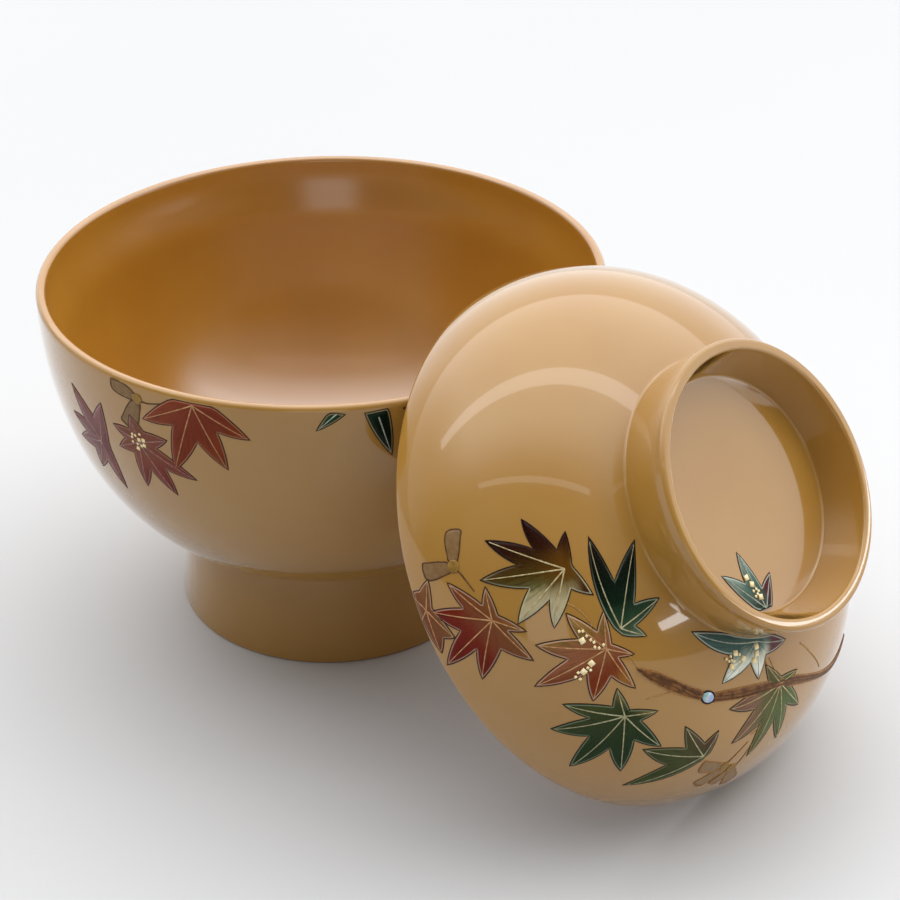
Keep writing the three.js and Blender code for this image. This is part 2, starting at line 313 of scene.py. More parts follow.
@dataclass(frozen=True)
class LeafLacquer:
    """Lacquer of one leaf. Its colour changes across the leaf, in the red and brown leaves partly as
    painted light, and a pale line follows the edge.
    """

    name: str
    slot: str
    heading: float
    stops: Stops
    heart: str
    heart_share: float
    heart_reach: float
    edge: str
    edge_share: float
    edge_stops: tuple[Point, ...] = ((0.0, 1.0),)
    side: str = ""
    side_heading: float = 0.0
    side_run: Point = (0.0, 1.0)
    edge_rise: Point = (0.08, 0.16)
    edge_fall: Point = (0.28, 0.44)
    streaks: float = 22.0
    streak_rings: float = 9.0
    streak_detail: float = 3.0
    streak_wander: float = 0.03
    streak_bump: Point = (0.12, 0.00004)
    cloud_scale: float = 26.0
    cloud_wander: float = 0.04
    cloud_polish: float = 0.1
    shade: str = "0e0704"
    shade_share: float = 0.35
    shade_run: Point = (0.3, 0.55)
    powder: str = "c5a777"
    powder_share: float = 0.06
    powder_scale: float = 190.0
    powder_run: Point = (0.58, 0.72)
    roughness: float = 0.3
    mirror: float = 0.06
    coat: float = 0.06
    coat_roughness: float = 0.05

    def run(self, centred: Wire, heading: float) -> Wire:
        """How far the centred drawing goes along a heading, as a share of its span."""
        step = (*polar(heading, 1.0), 0.0)
        return centred.shader.vector("DOT_PRODUCT", centred, step, output=1)

    def material(self) -> Material:
        """Builds the lacquer from the leaf's own drawing and its distance to the edge.

        Returns:
            The material.
        """
        shader = Surface(self.name)
        drawing = shader.node("ShaderNodeUVMap", {"uv_map": DRAWING_MAP}, {})
        centred = shader.vector("SUBTRACT", drawing, (0.5, 0.5, 0.0))
        run = self.run(centred, self.heading)
        reach = shader.vector("LENGTH", centred, output=1)
        around = reach.maths("ARCTAN2", shader.axis(centred, "X"), shader.axis(centred, "Y"))
        spoke = {0: around * self.streaks, 1: reach * self.streak_rings}
        streak = shader.noise(shader.node("ShaderNodeCombineXYZ", {}, spoke), 1.0, self.streak_detail)
        cloud = shader.noise(drawing, self.cloud_scale)
        wander = run + self.cloud_wander * (cloud - 0.5) + self.streak_wander * (streak - 0.5)
        # The stops give the leaf's colours along its heading; in the red and brown leaves they are partly
        # a painted highlight and a painted reflection.
        stops = [(0.5 + place / DRAWING_SPAN, paint(code)) for place, code in self.stops]
        colour = shader.ramp(wander + 0.5, stops)
        if self.side:
            first, last = (end / DRAWING_SPAN for end in self.side_run)
            share = self.run(centred, self.side_heading).climb(first, last)
            colour = shader.blend(share, colour, paint(self.side))
        heart = (1 - reach.climb(0, self.heart_reach / DRAWING_SPAN)) * self.heart_share
        colour = shader.blend(heart, colour, paint(self.heart))
        shade = (1 - streak.climb(*self.shade_run)) * self.shade_share
        colour = shader.blend(shade, colour, paint(self.shade))
        edge = shader.node("ShaderNodeAttribute", {"attribute_name": EDGE_NAME}, {}, "Fac")
        levels = [(0.5 + place / DRAWING_SPAN, (v, v, v, 1.0)) for place, v in self.edge_stops]
        level = shader.ramp(run + 0.5, levels)
        line = edge.climb(*self.edge_rise) * (1 - edge.climb(*self.edge_fall)) * self.edge_share * level
        colour = shader.blend(line, colour, paint(self.edge))
        powder = shader.noise(drawing, self.powder_scale).climb(*self.powder_run)
        return shader.dress(
            colour=shader.blend(powder * self.powder_share, colour, paint(self.powder)),
            roughness=self.roughness - self.cloud_polish * cloud,
            mirror=self.mirror,
            coat=self.coat,
            coat_roughness=self.coat_roughness,
            normal=shader.bump(streak, *self.streak_bump),
        )


@dataclass(frozen=True)
class LineLacquer:
    """Lacquer or gold powder of a drawn line or a small figure, in two tones under a clear coat."""

    name: str
    colour: str
    deep: str
    slot: str = "seed_key"
    metallic: float = 0.0
    roughness: float = 0.35
    grain: float = 1400.0
    grain_run: Point = (0.35, 0.65)
    grain_polish: float = 0.15
    grain_bump: Point = (0.1, 0.00003)
    mirror: float = 0.12
    coat: float = 0.08
    coat_roughness: float = 0.08

    def material(self) -> Material:
        """Builds the line.

        Returns:
            The material.
        """
        shader = Surface(self.name)
        powder = shader.noise(shader.place(), self.grain)
        return shader.dress(
            colour=shader.blend(powder.climb(*self.grain_run), paint(self.deep), paint(self.colour)),
            metallic=self.metallic,
            roughness=self.roughness + self.grain_polish * (powder - 0.5),
            mirror=self.mirror,
            coat=self.coat,
            coat_roughness=self.coat_roughness,
            normal=shader.bump(powder, *self.grain_bump),
        )


@dataclass(frozen=True)
class ShellLacquer:
    """Polished iridescent shell: bands of blue, white, green and rose under a clear coat."""

    name: str = "shell"
    slot: str = "shell"
    band_scale: float = 260.0
    band_detail: float = 1.0
    bands: Stops = (
        (0.25, "6e8ec8"), (0.42, "93acd4"), (0.52, "c8cdd4"), (0.62, "90c3bf"), (0.75, "bca6c8"),
    )
    roughness: float = 0.18
    coat_roughness: float = 0.03

    def material(self) -> Material:
        """Builds the shell.

        Returns:
            The material.
        """
        shader = Surface(self.name)
        drift = shader.noise(shader.place(), self.band_scale, self.band_detail)
        colour = shader.ramp(drift, [(place, paint(code)) for place, code in self.bands])
        rough, coat_rough = self.roughness, self.coat_roughness
        return shader.dress(colour=colour, roughness=rough, coat=1.0, coat_roughness=coat_rough)


@dataclass(frozen=True)
class FloorPaint:
    """The pale table top, with a faint unevenness."""

    name: str = "table_top"
    colour: str = "c5c5c5"
    deep: str = "c3c3c3"
    cloud_scale: float = 3.0
    roughness: float = 0.6

    def material(self) -> Material:
        """Builds the table top.

        Returns:
            The material.
        """
        shader = Surface(self.name)
        clouds = shader.noise(shader.place(), self.cloud_scale).climb(*CLOUD_RUN)
        colour = shader.blend(clouds, paint(self.colour), paint(self.deep))
        return shader.dress(colour=colour, roughness=self.roughness)


Lacquer = GroundLacquer | LeafLacquer | LineLacquer | ShellLacquer


@cache
def material_of(finish: Lacquer | FloorPaint) -> Material:
    """The one material of a finish."""
    return finish.material()


# Modelling steps


def start() -> None:
    """Leaves nothing selected, so that the next primitive is alone."""
    bpy.ops.object.select_all(action="DESELECT")


def named(name: str) -> Piece:
    """Names the active object.

    Args:
        name: The name of the piece.

    Returns:
        The object.
    """
    obj = bpy.context.active_object
    obj.name = name
    obj.data.name = name
    return obj


def edit_all() -> None:
    """Opens the active mesh with all of it selected."""
    bpy.ops.object.mode_set(mode="EDIT")
    bpy.ops.mesh.select_all(action="SELECT")


def edit_done() -> None:
    """Closes the active mesh."""
    bpy.ops.object.mode_set(mode="OBJECT")


def set_points(obj: Piece, points: np.ndarray) -> None:
    """Moves an object's vertices to the given points."""
    obj.data.vertices.foreach_set("co", np.asarray(points, np.float32).ravel())
    obj.data.update()


def get_points(obj: Piece) -> np.ndarray:
    """An object's vertices.

    Args:
        obj: The object.

    Returns:
        One row for each vertex.
    """
    points = np.empty(len(obj.data.vertices) * 3, np.float32)
    obj.data.vertices.foreach_get("co", points)
    return points.reshape(-1, 3).astype(float)


def keep(obj: Piece, body: str, finishes: tuple[Lacquer, ...], node: str = "") -> None:
    """Dresses a finished piece and ties it to the frame.

    Args:
        obj: The piece.
        body: The CAD body that it rides on.
        finishes: Its finishes, as its materials in this order.
        node: The CAD node that it stands for, if there is one.
    """
    obj.data.materials.clear()
    for finish in finishes:
        obj.data.materials.append(material_of(finish))
    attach(obj, body)
    if node:
        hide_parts(node)
    LOG.info("%s: %d faces on %s", obj.name, len(obj.data.polygons), body)


def turn_profile(name: str, profile: list[Point], place: Matrix) -> Piece:
    """Turns a profile on the lathe.

    Args:
        name: The name of the piece.
        profile: Points of radius and height in millimetres, from the axis round to the axis.
        place: Where the turned piece stands.

    Returns:
        The turned piece.
    """
    start()
    bpy.ops.mesh.primitive_plane_add(size=MM)
    obj = named(name)
    edit_all()
    bpy.ops.mesh.merge(type="CENTER")
    bpy.ops.transform.translate(value=(profile[0][0] * MM, 0, profile[0][1] * MM))
    for (r0, h0), (r1, h1) in zip(profile, profile[1:]):
        step = ((r1 - r0) * MM, 0, (h1 - h0) * MM)
        bpy.ops.mesh.extrude_region_move(TRANSFORM_OT_translate={"value": step})
    bpy.ops.mesh.select_all(action="SELECT")
    bpy.ops.mesh.spin(steps=TURN_STEPS, angle=2 * math.pi, center=(0, 0, 0), axis=(0, 0, 1))
    bpy.ops.mesh.select_all(action="SELECT")
    bpy.ops.mesh.remove_doubles(threshold=WELD)
    bpy.ops.mesh.normals_make_consistent(inside=False)
    edit_done()
    bpy.ops.object.shade_smooth_by_angle(angle=SMOOTH_ANGLE)
    obj.matrix_world = place
    bpy.ops.object.transform_apply(location=True, rotation=True, scale=True)
    return obj


# Curves of the turned bodies


def quarter_curve(radius: float, depth: float, side_power: float, depth_power: float) -> np.ndarray:
    """A quarter of a superellipse.

    Args:
        radius: The radius at the rim.
        depth: The depth at the axis.
        side_power: How full the curve is at the side.
        depth_power: How full it is at the axis.

    Returns:
        Points of radius and depth, from the rim to the axis.
    """
    angle = np.linspace(0, math.pi / 2, 4 * CURVE_STEPS + 1)
    across = np.cos(angle) ** (2 / side_power)
    across[-1] = 0
    return np.stack([radius * across, depth * np.sin(angle) ** (2 / depth_power)], 1)


def tangents(curve: np.ndarray) -> np.ndarray:
    """A curve's direction at each of its points."""
    steps = np.gradient(curve, axis=0)
    return steps / np.linalg.norm(steps, axis=1)[:, None]


def beside(curve: np.ndarray, offset: np.ndarray) -> np.ndarray:
    """A curve that runs to the left of another, by an offset at each point."""
    way = tangents(curve)
    return curve + np.stack([-way[:, 1], way[:, 0]], 1) * offset[:, None]


def inner_curve(curve: np.ndarray, lip: float, wall: float, lip_depth: float) -> np.ndarray:
    """The inside of a wall that grows from its lip to its full thickness.

    Args:
        curve: The outside, from the rim to the axis.
        lip: The thickness at the rim.
        wall: The full thickness.
        lip_depth: The depth at which the wall is full.

    Returns:
        The inside, from the rim to the axis.
    """
    inner = beside(curve, lip + (wall - lip) * smoothstep(curve[:, 1], 0, lip_depth))
    inner[-1, 0] = 0
    return inner


def down_to(curve: np.ndarray, radius: float) -> np.ndarray:
    """The part of a curve from the rim down to a radius.

    Args:
        curve: The curve, from the rim to the axis.
        radius: Where it ends.

    Returns:
        That part, whose last point has the radius.
    """
    last = int(np.argmax(curve[:, 0] < radius))
    a, b = curve[last - 1], curve[last]
    end = a + (b - a) * (a[0] - radius) / (a[0] - b[0])
    return np.vstack([curve[:last], end])


def run_of(curve: np.ndarray) -> np.ndarray:
    """The way along a curve from its start to each point."""
    steps = np.linalg.norm(np.diff(curve, axis=0), axis=1)
    return np.concatenate([[0.0], np.cumsum(steps)])


def spaced(curve: np.ndarray, count: int = CURVE_STEPS) -> np.ndarray:
    """A curve with even steps.

    Args:
        curve: The curve's points.
        count: The number of steps.

    Returns:
        The new points.
    """
    run = run_of(curve)
    even = np.linspace(0, run[-1], count + 1)
    return np.stack([np.interp(even, run, column) for column in curve.T], 1)


def arc(x: float, y: float, radius: float, start_angle: float, end_angle: float) -> np.ndarray:
    """An arc about a centre, from one angle to another in degrees."""
    angle = np.radians(np.linspace(start_angle, end_angle, ARC_STEPS + 1))
    return np.stack([x + radius * np.cos(angle), y + radius * np.sin(angle)], 1)


def bent(before: np.ndarray, corner: np.ndarray, after: np.ndarray, count: int) -> np.ndarray:
    """A curve of some points from one point to another, drawn towards a corner."""
    t = np.linspace(0, 1, count)[:, None]
    return (1 - t) ** 2 * before + 2 * t * (1 - t) * corner + t**2 * after


def joined(*parts: np.ndarray, least: float = 0.01) -> list[Point]:
    """A profile from its parts.

    Args:
        parts: Arrays of radius and height.
        least: The shortest step that is kept.

    Returns:
        One list of points without repeats.
    """
    points: list[Point] = []
    for x, y in np.vstack(parts):
        if not points or math.hypot(x - points[-1][0], y - points[-1][1]) > least:
            points.append((float(x), float(y)))
    return points


# Faces that carry drawings


@dataclass(frozen=True)
class Hub:
    """Where a drawing's middle lies: the share of the face's length and the turn in degrees."""

    share: float
    turn: float


class Face:
    """A turned face. Its drawings are in millimetres, across with the turn and along the face."""

    def __init__(self, meridian: np.ndarray, place: Matrix, body: str) -> None:
        """Keeps the face.

        Args:
            meridian: Points of radius and height, walked with the outside on the left.
            place: Where the body stands.
            body: The body's name.
        """
        self.meridian = meridian
        self.columns = (*meridian.T, *tangents(meridian).T)
        self.run = run_of(meridian)
        self.length = self.run[-1]
        self.place = np.array(place)
        self.body = body

    def lay(self, hub: Hub, drawn: np.ndarray) -> np.ndarray:
        """Lays a drawing on the face.

        Args:
            hub: Where its middle goes.
            drawn: Rows of across, along and lift in millimetres.

        Returns:
            The points in the row frame, in metres.
        """
        run = np.clip(hub.share * self.length + drawn[:, 1], 0, self.length)
        radius, height, way_out, way_up = (np.interp(run, self.run, column) for column in self.columns)
        turn = math.radians(hub.turn) + drawn[:, 0] / radius
        radius = radius - way_up * drawn[:, 2]
        height = height + way_out * drawn[:, 2]
        return self.placed(radius * np.cos(turn), radius * np.sin(turn), height)

    def placed(self, x: np.ndarray, y: np.ndarray, z: np.ndarray) -> np.ndarray:
        """The body's own points in millimetres as points of the row frame in metres."""
        local = np.stack([x * MM, y * MM, z * MM, np.ones_like(x)], 1)
        return (local @ self.place.T)[:, :3]

    def drawn_at(self, hub: Hub, share: float, turn: float) -> Point:
        """A point of the face, by its share and turn, as a drawing about a hub has it."""
        radius = float(np.interp(share * self.length, self.run, self.meridian[:, 0]))
        return (math.radians(turn - hub.turn) * radius, (share - hub.share) * self.length)


class FlatFace(Face):
    """The flat floor of the ring's recess. Its drawings stay undistorted."""

    def lay(self, hub: Hub, drawn: np.ndarray) -> np.ndarray:
        """Lays a drawing on the flat.

        Args:
            hub: Where its middle goes.
            drawn: Rows of across, along and lift in millimetres.

        Returns:
            The points in the row frame, in metres.
        """
        turn = math.radians(hub.turn)
        radius = hub.share * self.length + drawn[:, 1]
        x = radius * math.cos(turn) - drawn[:, 0] * math.sin(turn)
        y = radius * math.sin(turn) + drawn[:, 0] * math.cos(turn)
        return self.placed(x, y, self.meridian[0, 1] + drawn[:, 2])


# Drawn lines and sheets


@dataclass(frozen=True)
class Stroke:
    """A drawn line: its points and its half width, or one for each point, in millimetres."""

    points: np.ndarray
    halves: float | np.ndarray
    closed: bool = False

    def dense(self) -> tuple[np.ndarray, np.ndarray]:
        """The line with short steps, so that it can follow a curved face.

        Returns:
            Its points and half widths.
        """
        halves = np.broadcast_to(self.halves, len(self.points))
        if self.closed:
            return self.points, halves
        run = run_of(self.points)
        places = [run[0]]
        for before, after in zip(run, run[1:]):
            count = max(1, math.ceil((after - before) / LINE_STEP))
            places.extend(before + (after - before) * (i + 1) / count for i in range(count))
        x, y, half = (np.interp(places, run, column) for column in (*self.points.T, halves))
        return np.stack([x, y], 1), half


def polar(heading: float, reach: float) -> np.ndarray:
    """A step across and along. Heading 0 goes along the face and 90 goes with the turn."""
    return reach * np.array([math.sin(math.radians(heading)), math.cos(math.radians(heading))])


def headed(points: np.ndarray, heading: float) -> np.ndarray:
    """Rows of reach and offset about a heading, as rows of across and along."""
    return points[:, :1] * polar(heading, 1.0) + points[:, 1:] * polar(heading + 90, 1.0)


def oval(length: float, width: float, count: int) -> np.ndarray:
    """Points on an oval, from the end of its length."""
    turn = np.linspace(0, 2 * math.pi, count, endpoint=False)
    return np.stack([np.cos(turn) * length / 2, np.sin(turn) * width / 2], 1)


def smooth_path(knots: np.ndarray | list, per_span: int = 8, closed: bool = False) -> np.ndarray:
    """A smooth line through knots.

    Args:
        knots: The knots, with any number of columns.
        per_span: The number of steps from one knot to the next.
        closed: Whether the line returns to its first knot.

    Returns:
        The line's points.
    """
    given = np.asarray(knots, float)
    if closed:
        padded = np.vstack([given[-1], given, given[:2]])
    else:
        padded = np.vstack([2 * given[0] - given[1], given, 2 * given[-1] - given[-2]])
    points = []
    for a, b, c, d in zip(padded, padded[1:], padded[2:], padded[3:]):
        for t in np.linspace(0, 1, per_span, endpoint=False):
            bend = (2 * a - 5 * b + 4 * c - d) * t**2 + (3 * b - a - 3 * c + d) * t**3
            points.append(0.5 * (2 * b + (c - a) * t + bend))
    if not closed:
        points.append(given[-1])
    return np.array(points)


def draw_strokes(name: str, strokes: list[Stroke]) -> Piece:
    """Draws lines as round rods.

    Args:
        name: The name of the piece.
        strokes: The lines.

    Returns:
        One mesh that holds them all, still flat and in millimetres.
    """
    start()
    curve = bpy.data.curves.new(name, "CURVE")
    curve.dimensions = "3D"
    curve.twist_mode = "Z_UP"
    curve.bevel_depth = 1.0
    curve.bevel_resolution = 1
    curve.use_fill_caps = True
    for stroke in strokes:
        points, halves = stroke.dense()
        spline = curve.splines.new("POLY")
        spline.points.add(len(points) - 1)
        spline.use_cyclic_u = stroke.closed
        for point, (x, y), half in zip(spline.points, points, halves):
            point.co = (x, y, 0, 1)
            point.radius = half
    obj = bpy.data.objects.new(name, curve)
    bpy.context.scene.collection.objects.link(obj)
    bpy.context.view_layer.objects.active = obj
    obj.select_set(True)
    bpy.ops.object.convert(target="MESH")
    return named(name)


def lay_solid(obj: Piece, face: Face, hub: Hub, lift: float, flatness: float = 1.0) -> None:
    """Lays closed flat solids on a face.

    Args:
        obj: The solids, in millimetres.
        face: The face that carries them.
        hub: Where the drawing's middle goes.
        lift: How far their middle is off the face.
        flatness: How much of their height is kept.
    """
    drawn = get_points(obj)
    drawn[:, 2] = lift + drawn[:, 2] * flatness
    set_points(obj, face.lay(hub, drawn))
    edit_all()
    bpy.ops.mesh.normals_make_consistent(inside=False)
    edit_done()
    bpy.ops.object.shade_smooth()


def ink(name: str, strokes: list[Stroke], face: Face, hub: Hub, lift: float, finish: LineLacquer) -> None:
    """Draws and dresses lines on a face.

    Args:
        name: The name of the piece.
        strokes: The lines.
        face: The face that carries them.
        hub: Where the drawing's middle goes.
        lift: How far their middle is off the face.
        finish: Their finish.
    """
    obj = draw_strokes(name, strokes)
    lay_solid(obj, face, hub, lift, LINE_FLATNESS)
    keep(obj, face.body, (finish,))


def lay_sheet(obj: Piece, face: Face, hub: Hub, drawn: np.ndarray, thickness: float) -> None:
    """Lays a flat sheet on a face and gives it thickness, inwards from the side that shows.

    Args:
        obj: The sheet.
        face: The face that carries it.
        hub: Where the drawing's middle goes.
        drawn: Rows of across, along and lift for each vertex.
        thickness: The thickness in millimetres.
    """
    middle = drawn.mean(0)
    outward = face.lay(hub, np.array([middle, middle + (0, 0, 1)]))
    set_points(obj, face.lay(hub, drawn))
    facing = sum((polygon.normal * polygon.area for polygon in obj.data.polygons), Vector())
    if facing.dot(Vector(outward[1] - outward[0])) < 0:
        edit_all()
        bpy.ops.mesh.flip_normals()
        edit_done()
    bpy.ops.object.shade_smooth()
    modifier = obj.modifiers.new("layer", "SOLIDIFY")
    modifier.thickness = thickness * MM
    modifier.offset = -1
    bpy.ops.object.modifier_apply(modifier=modifier.name)


def edge_distance(points: np.ndarray, outline: np.ndarray) -> np.ndarray:
    """How far points are from an outline.

    Args:
        points: The points of a drawing.
        outline: The closed outline.

    Returns:
        The least distance of each point, in millimetres.
    """
    sides = np.roll(outline, -1, axis=0) - outline
    squares = np.maximum((sides**2).sum(1), LEAST_SQUARE)
    offset = points[:, None, :] - outline[None]
    share = np.clip((offset * sides).sum(2) / squares, 0, 1)
    return np.linalg.norm(offset - share[..., None] * sides, axis=2).min(1)


def sheet_from_outline(name: str, outline: np.ndarray, centre: np.ndarray, cuts: int) -> Piece:
    """A flat sheet inside an outline.

    Args:
        name: The name of the piece.
        outline: The outline in millimetres.
        centre: A point that sees the whole outline.
        cuts: How often each side is cut.

    Returns:
        The sheet.
    """
    start()
    bpy.ops.mesh.primitive_circle_add(vertices=len(outline), radius=1.0, fill_type="TRIFAN")
    obj = named(name)
    points = get_points(obj)
    ring = np.linalg.norm(points, axis=1) > 0.5
    points[ring, :2] = outline
    points[~ring, :2] = centre
    set_points(obj, points)
    edit_all()
    bpy.ops.mesh.subdivide(number_cuts=cuts)
    edit_done()
    return obj


def map_drawing(obj: Piece, outline: np.ndarray) -> np.ndarray:
    """Keeps a flat sheet's drawing as its UV map and its distance to the edge as an attribute.

    Args:
        obj: The sheet.
        outline: Its outline.

    Returns:
        The distance of each vertex to the edge.
    """
    flat = get_points(obj)[:, :2]
    layer = obj.data.uv_layers.new(name=DRAWING_MAP)
    corners = np.array([loop.vertex_index for loop in obj.data.loops])
    layer.data.foreach_set("uv", (flat[corners] / DRAWING_SPAN + 0.5).astype(np.float32).ravel())
    distance = edge_distance(flat, outline)
    attribute = obj.data.attributes.new(EDGE_NAME, "FLOAT", "POINT")
    attribute.data.foreach_set("value", distance.astype(np.float32))
    return distance


# Raised figures

GOLD_LINE = LineLacquer("gold_line", "c59c70", "aa774b", metallic=0.2)
PALE_LINE = LineLacquer("pale_line", "bab490", "958e69")
CREAM_LINE = LineLacquer("cream_line", "c6ba8e", "a89061")
SILVER_LINE = LineLacquer("silver_line", "b6bdae", "8e9a8c")
LILAC_LINE = LineLacquer("lilac_line", "af8e85", "8d6964")
DARK_LINE = LineLacquer("dark_line", "27130c", "170b07", "branch", roughness=0.4)
BROWN_LINE = LineLacquer("brown_line", "694628", "4d2f19", "branch", roughness=0.4)
TAN_LINE = LineLacquer("tan_line", "a77944", "926436", "branch", metallic=0.15)
STEM_GOLD = LineLacquer("stem_gold", "b48b52", "a1763d", metallic=0.2)
GOLD_LEAF = LineLacquer("gold_leaf", "fff2c6", "ffe6a6", roughness=0.28)
SEED_GREY = LineLacquer("seed_grey", "876a45", "7e5f3c", grain=900.0)
SEED_FAINT = LineLacquer("seed_faint", "937756", "8b6e4b", grain=900.0)
NUTLET_GOLD = LineLacquer("nutlet_gold", "9c773a", "87662c", metallic=0.15)
BARK = LineLacquer("bark", "84592f", "5c391d", "branch", roughness=0.38, grain=700.0)


@dataclass(frozen=True)
class GoldCluster:
    """Small squares of gold leaf strewn along a heading of a leaf."""

    heading: float
    reach: Point
    spread: float
    count: int
    seed: int
    sizes: Point = (0.5, 1.1)
    turn: float = 0.35
    apart: float = 0.62
    tries: int = 12

    def plates(self) -> list[tuple[np.ndarray, float, float]]:
        """Strews the squares, the same in each run.

        Returns:
            The middle, size and turn of each square.
        """
        draw = np.random.default_rng(self.seed)
        plates: list[tuple[np.ndarray, float, float]] = []
        for _ in range(self.tries * self.count):
            reach = draw.uniform(*self.reach)
            offset = draw.uniform(-self.spread, self.spread)
            size = draw.choice(self.sizes)
            turn = draw.uniform(-self.turn, self.turn)
            middle = headed(np.array([[reach, offset]]), self.heading)[0]
            if all(np.linalg.norm(middle - other) > self.apart * (size + far) for other, far, _ in plates):
                plates.append((middle, size, turn))
        return plates[: self.count]


def gold_squares(name: str, clusters: tuple[GoldCluster, ...], thickness: float) -> Piece:
    """Models squares of gold leaf.

    Args:
        name: The name of the piece.
        clusters: Where the squares lie.
        thickness: How thick each square is, in millimetres.

    Returns:
        One mesh that holds them all, still flat and in millimetres.
    """
    start()
    bpy.ops.mesh.primitive_plane_add(size=1.0)
    obj = named(name)
    edit_all()
    bpy.ops.mesh.delete(type="VERT")
    for cluster in clusters:
        for (x, y), size, turn in cluster.plates():
            bpy.ops.mesh.primitive_plane_add(size=size, location=(x, y, 0), rotation=(0, 0, turn))
    bpy.ops.mesh.select_all(action="SELECT")
    bpy.ops.mesh.extrude_region_move(TRANSFORM_OT_translate={"value": (0, 0, thickness)})
    edit_done()
    return obj


@dataclass(frozen=True)
class Leaf:
    """A maple leaf in raised lacquer: lobes by heading and length about its hub."""

    name: str
    node: str
    hub: Hub
    lobes: tuple[Point, ...]
    finish: LeafLacquer
    lines: LineLacquer
    gold: tuple[GoldCluster, ...] = ()
    plain_lobes: tuple[float, ...] = ()
    notch_share: float = 0.55
    open_share: float = 0.25
    open_angle: float = 100.0
    open_turn: float = 55.0
    bulge: float = 0.045
    lift: float = 0.06
    crown: float = 0.14
    crown_run: float = 1.2
    thickness: float = 0.35
    gold_thickness: float = 0.14
    outline_half: float = 0.1
    vein_half: float = 0.16
    vein_taper: float = 0.45
    vein_share: float = 0.94
    edge_steps: int = 9
    least_step: float = 0.05
    lone_middle: float = 0.4
    cuts: int = 5
    margin: float = 0.12

    def lobe_side(self, length: float, gap: float, other: float, side: int) -> np.ndarray:
        """One edge of a lobe.

        Args:
            length: The lobe's length.
            gap: The angle to the next lobe on this side.
            other: That lobe's length.
            side: 1 with the turn, and -1 against it.

        Returns:
            Points of reach and offset along the lobe's own axis, from the notch to the tip.
        """
        closed = gap < self.open_angle
        half = math.radians(gap / 2 if closed else self.open_turn)
        notch = (self.notch_share if closed else self.open_share) * min(length, other)
        foot = notch * np.array([math.cos(half), math.sin(half)])
        tip = np.array([length, 0.0])
        way = tip - foot
        swell = (foot + tip) / 2 + 2 * self.bulge * np.array([-way[1], way[0]])
        return bent(foot, swell, tip, self.edge_steps) * (1, side)

    def outline(self, face: Face) -> np.ndarray:
        """The closed outline about the hub, cut off where the face ends.

        Args:
            face: The face that carries the leaf.

        Returns:
            Rows of across and along.
        """
        lobes = sorted(self.lobes)
        parts = []
        for i, (heading, length) in enumerate(lobes):
            after, after_length = lobes[(i + 1) % len(lobes)]
            before, before_length = lobes[i - 1]
            back = (heading - before) % 360 or 360
            ahead = (after - heading) % 360 or 360
            parts.append(headed(self.lobe_side(length, back, before_length, -1)[:-1], heading))
            parts.append(headed(self.lobe_side(length, ahead, after_length, 1)[::-1], heading))
        points = np.vstack(parts)
        low = self.margin - self.hub.share * face.length
        high = (1 - self.hub.share) * face.length - self.margin
        points[:, 1] = np.clip(points[:, 1], low, high)
        steps = np.linalg.norm(points - np.roll(points, 1, axis=0), axis=1)
        return points[steps > self.least_step]

    def centre(self) -> np.ndarray:
        """A point of the leaf that sees all of its outline."""
        heading, length = self.lobes[0]
        return polar(heading, self.lone_middle * length) if len(self.lobes) == 1 else np.zeros(2)

    def veins(self, face: Face) -> list[Stroke]:
        """The pale veins from the hub to the tips.

        Args:
            face: The face that carries the leaf.

        Returns:
            The lines.
        """
        low = self.margin - self.hub.share * face.length
        lines = []
        for heading, length in self.lobes:
            if heading in self.plain_lobes:
                continue
            points = np.linspace(0, 1, self.edge_steps)[:, None] * polar(heading, self.vein_share * length)
            points = points[points[:, 1] >= low]
            ends = (self.vein_half, self.vein_taper * self.vein_half)
            lines.append(Stroke(points, np.linspace(*ends, len(points))))
        return lines

    def build(self, face: Face) -> None:
        """Builds and dresses the leaf, its veins, its outline and its gold.

        Args:
            face: The face that carries the leaf.
        """
        outline = self.outline(face)
        obj = sheet_from_outline(self.name, outline, self.centre(), self.cuts)
        distance = map_drawing(obj, outline)
        drawn = get_points(obj)
        drawn[:, 2] = self.lift + self.crown * smoothstep(distance, 0, self.crown_run)
        lay_sheet(obj, face, self.hub, drawn, self.thickness)
        keep(obj, face.body, (self.finish,), self.node)
        top = self.lift + self.crown
        ink(self.name + "_veins", self.veins(face), face, self.hub, top, self.lines)
        edge = [Stroke(outline, self.outline_half, True)]
        ink(self.name + "_outline", edge, face, self.hub, self.lift, DARK_LINE)
        if self.gold:
            squares = gold_squares(self.name + "_gold", self.gold, self.gold_thickness)
            lay_solid(squares, face, self.hub, top)
            keep(squares, face.body, (GOLD_LEAF,))


@dataclass(frozen=True)
class RimLobe(Leaf):
    """The lobe of a leaf whose middle lies over the rim."""

    open_share: float = 0.28
    open_turn: float = 34.0


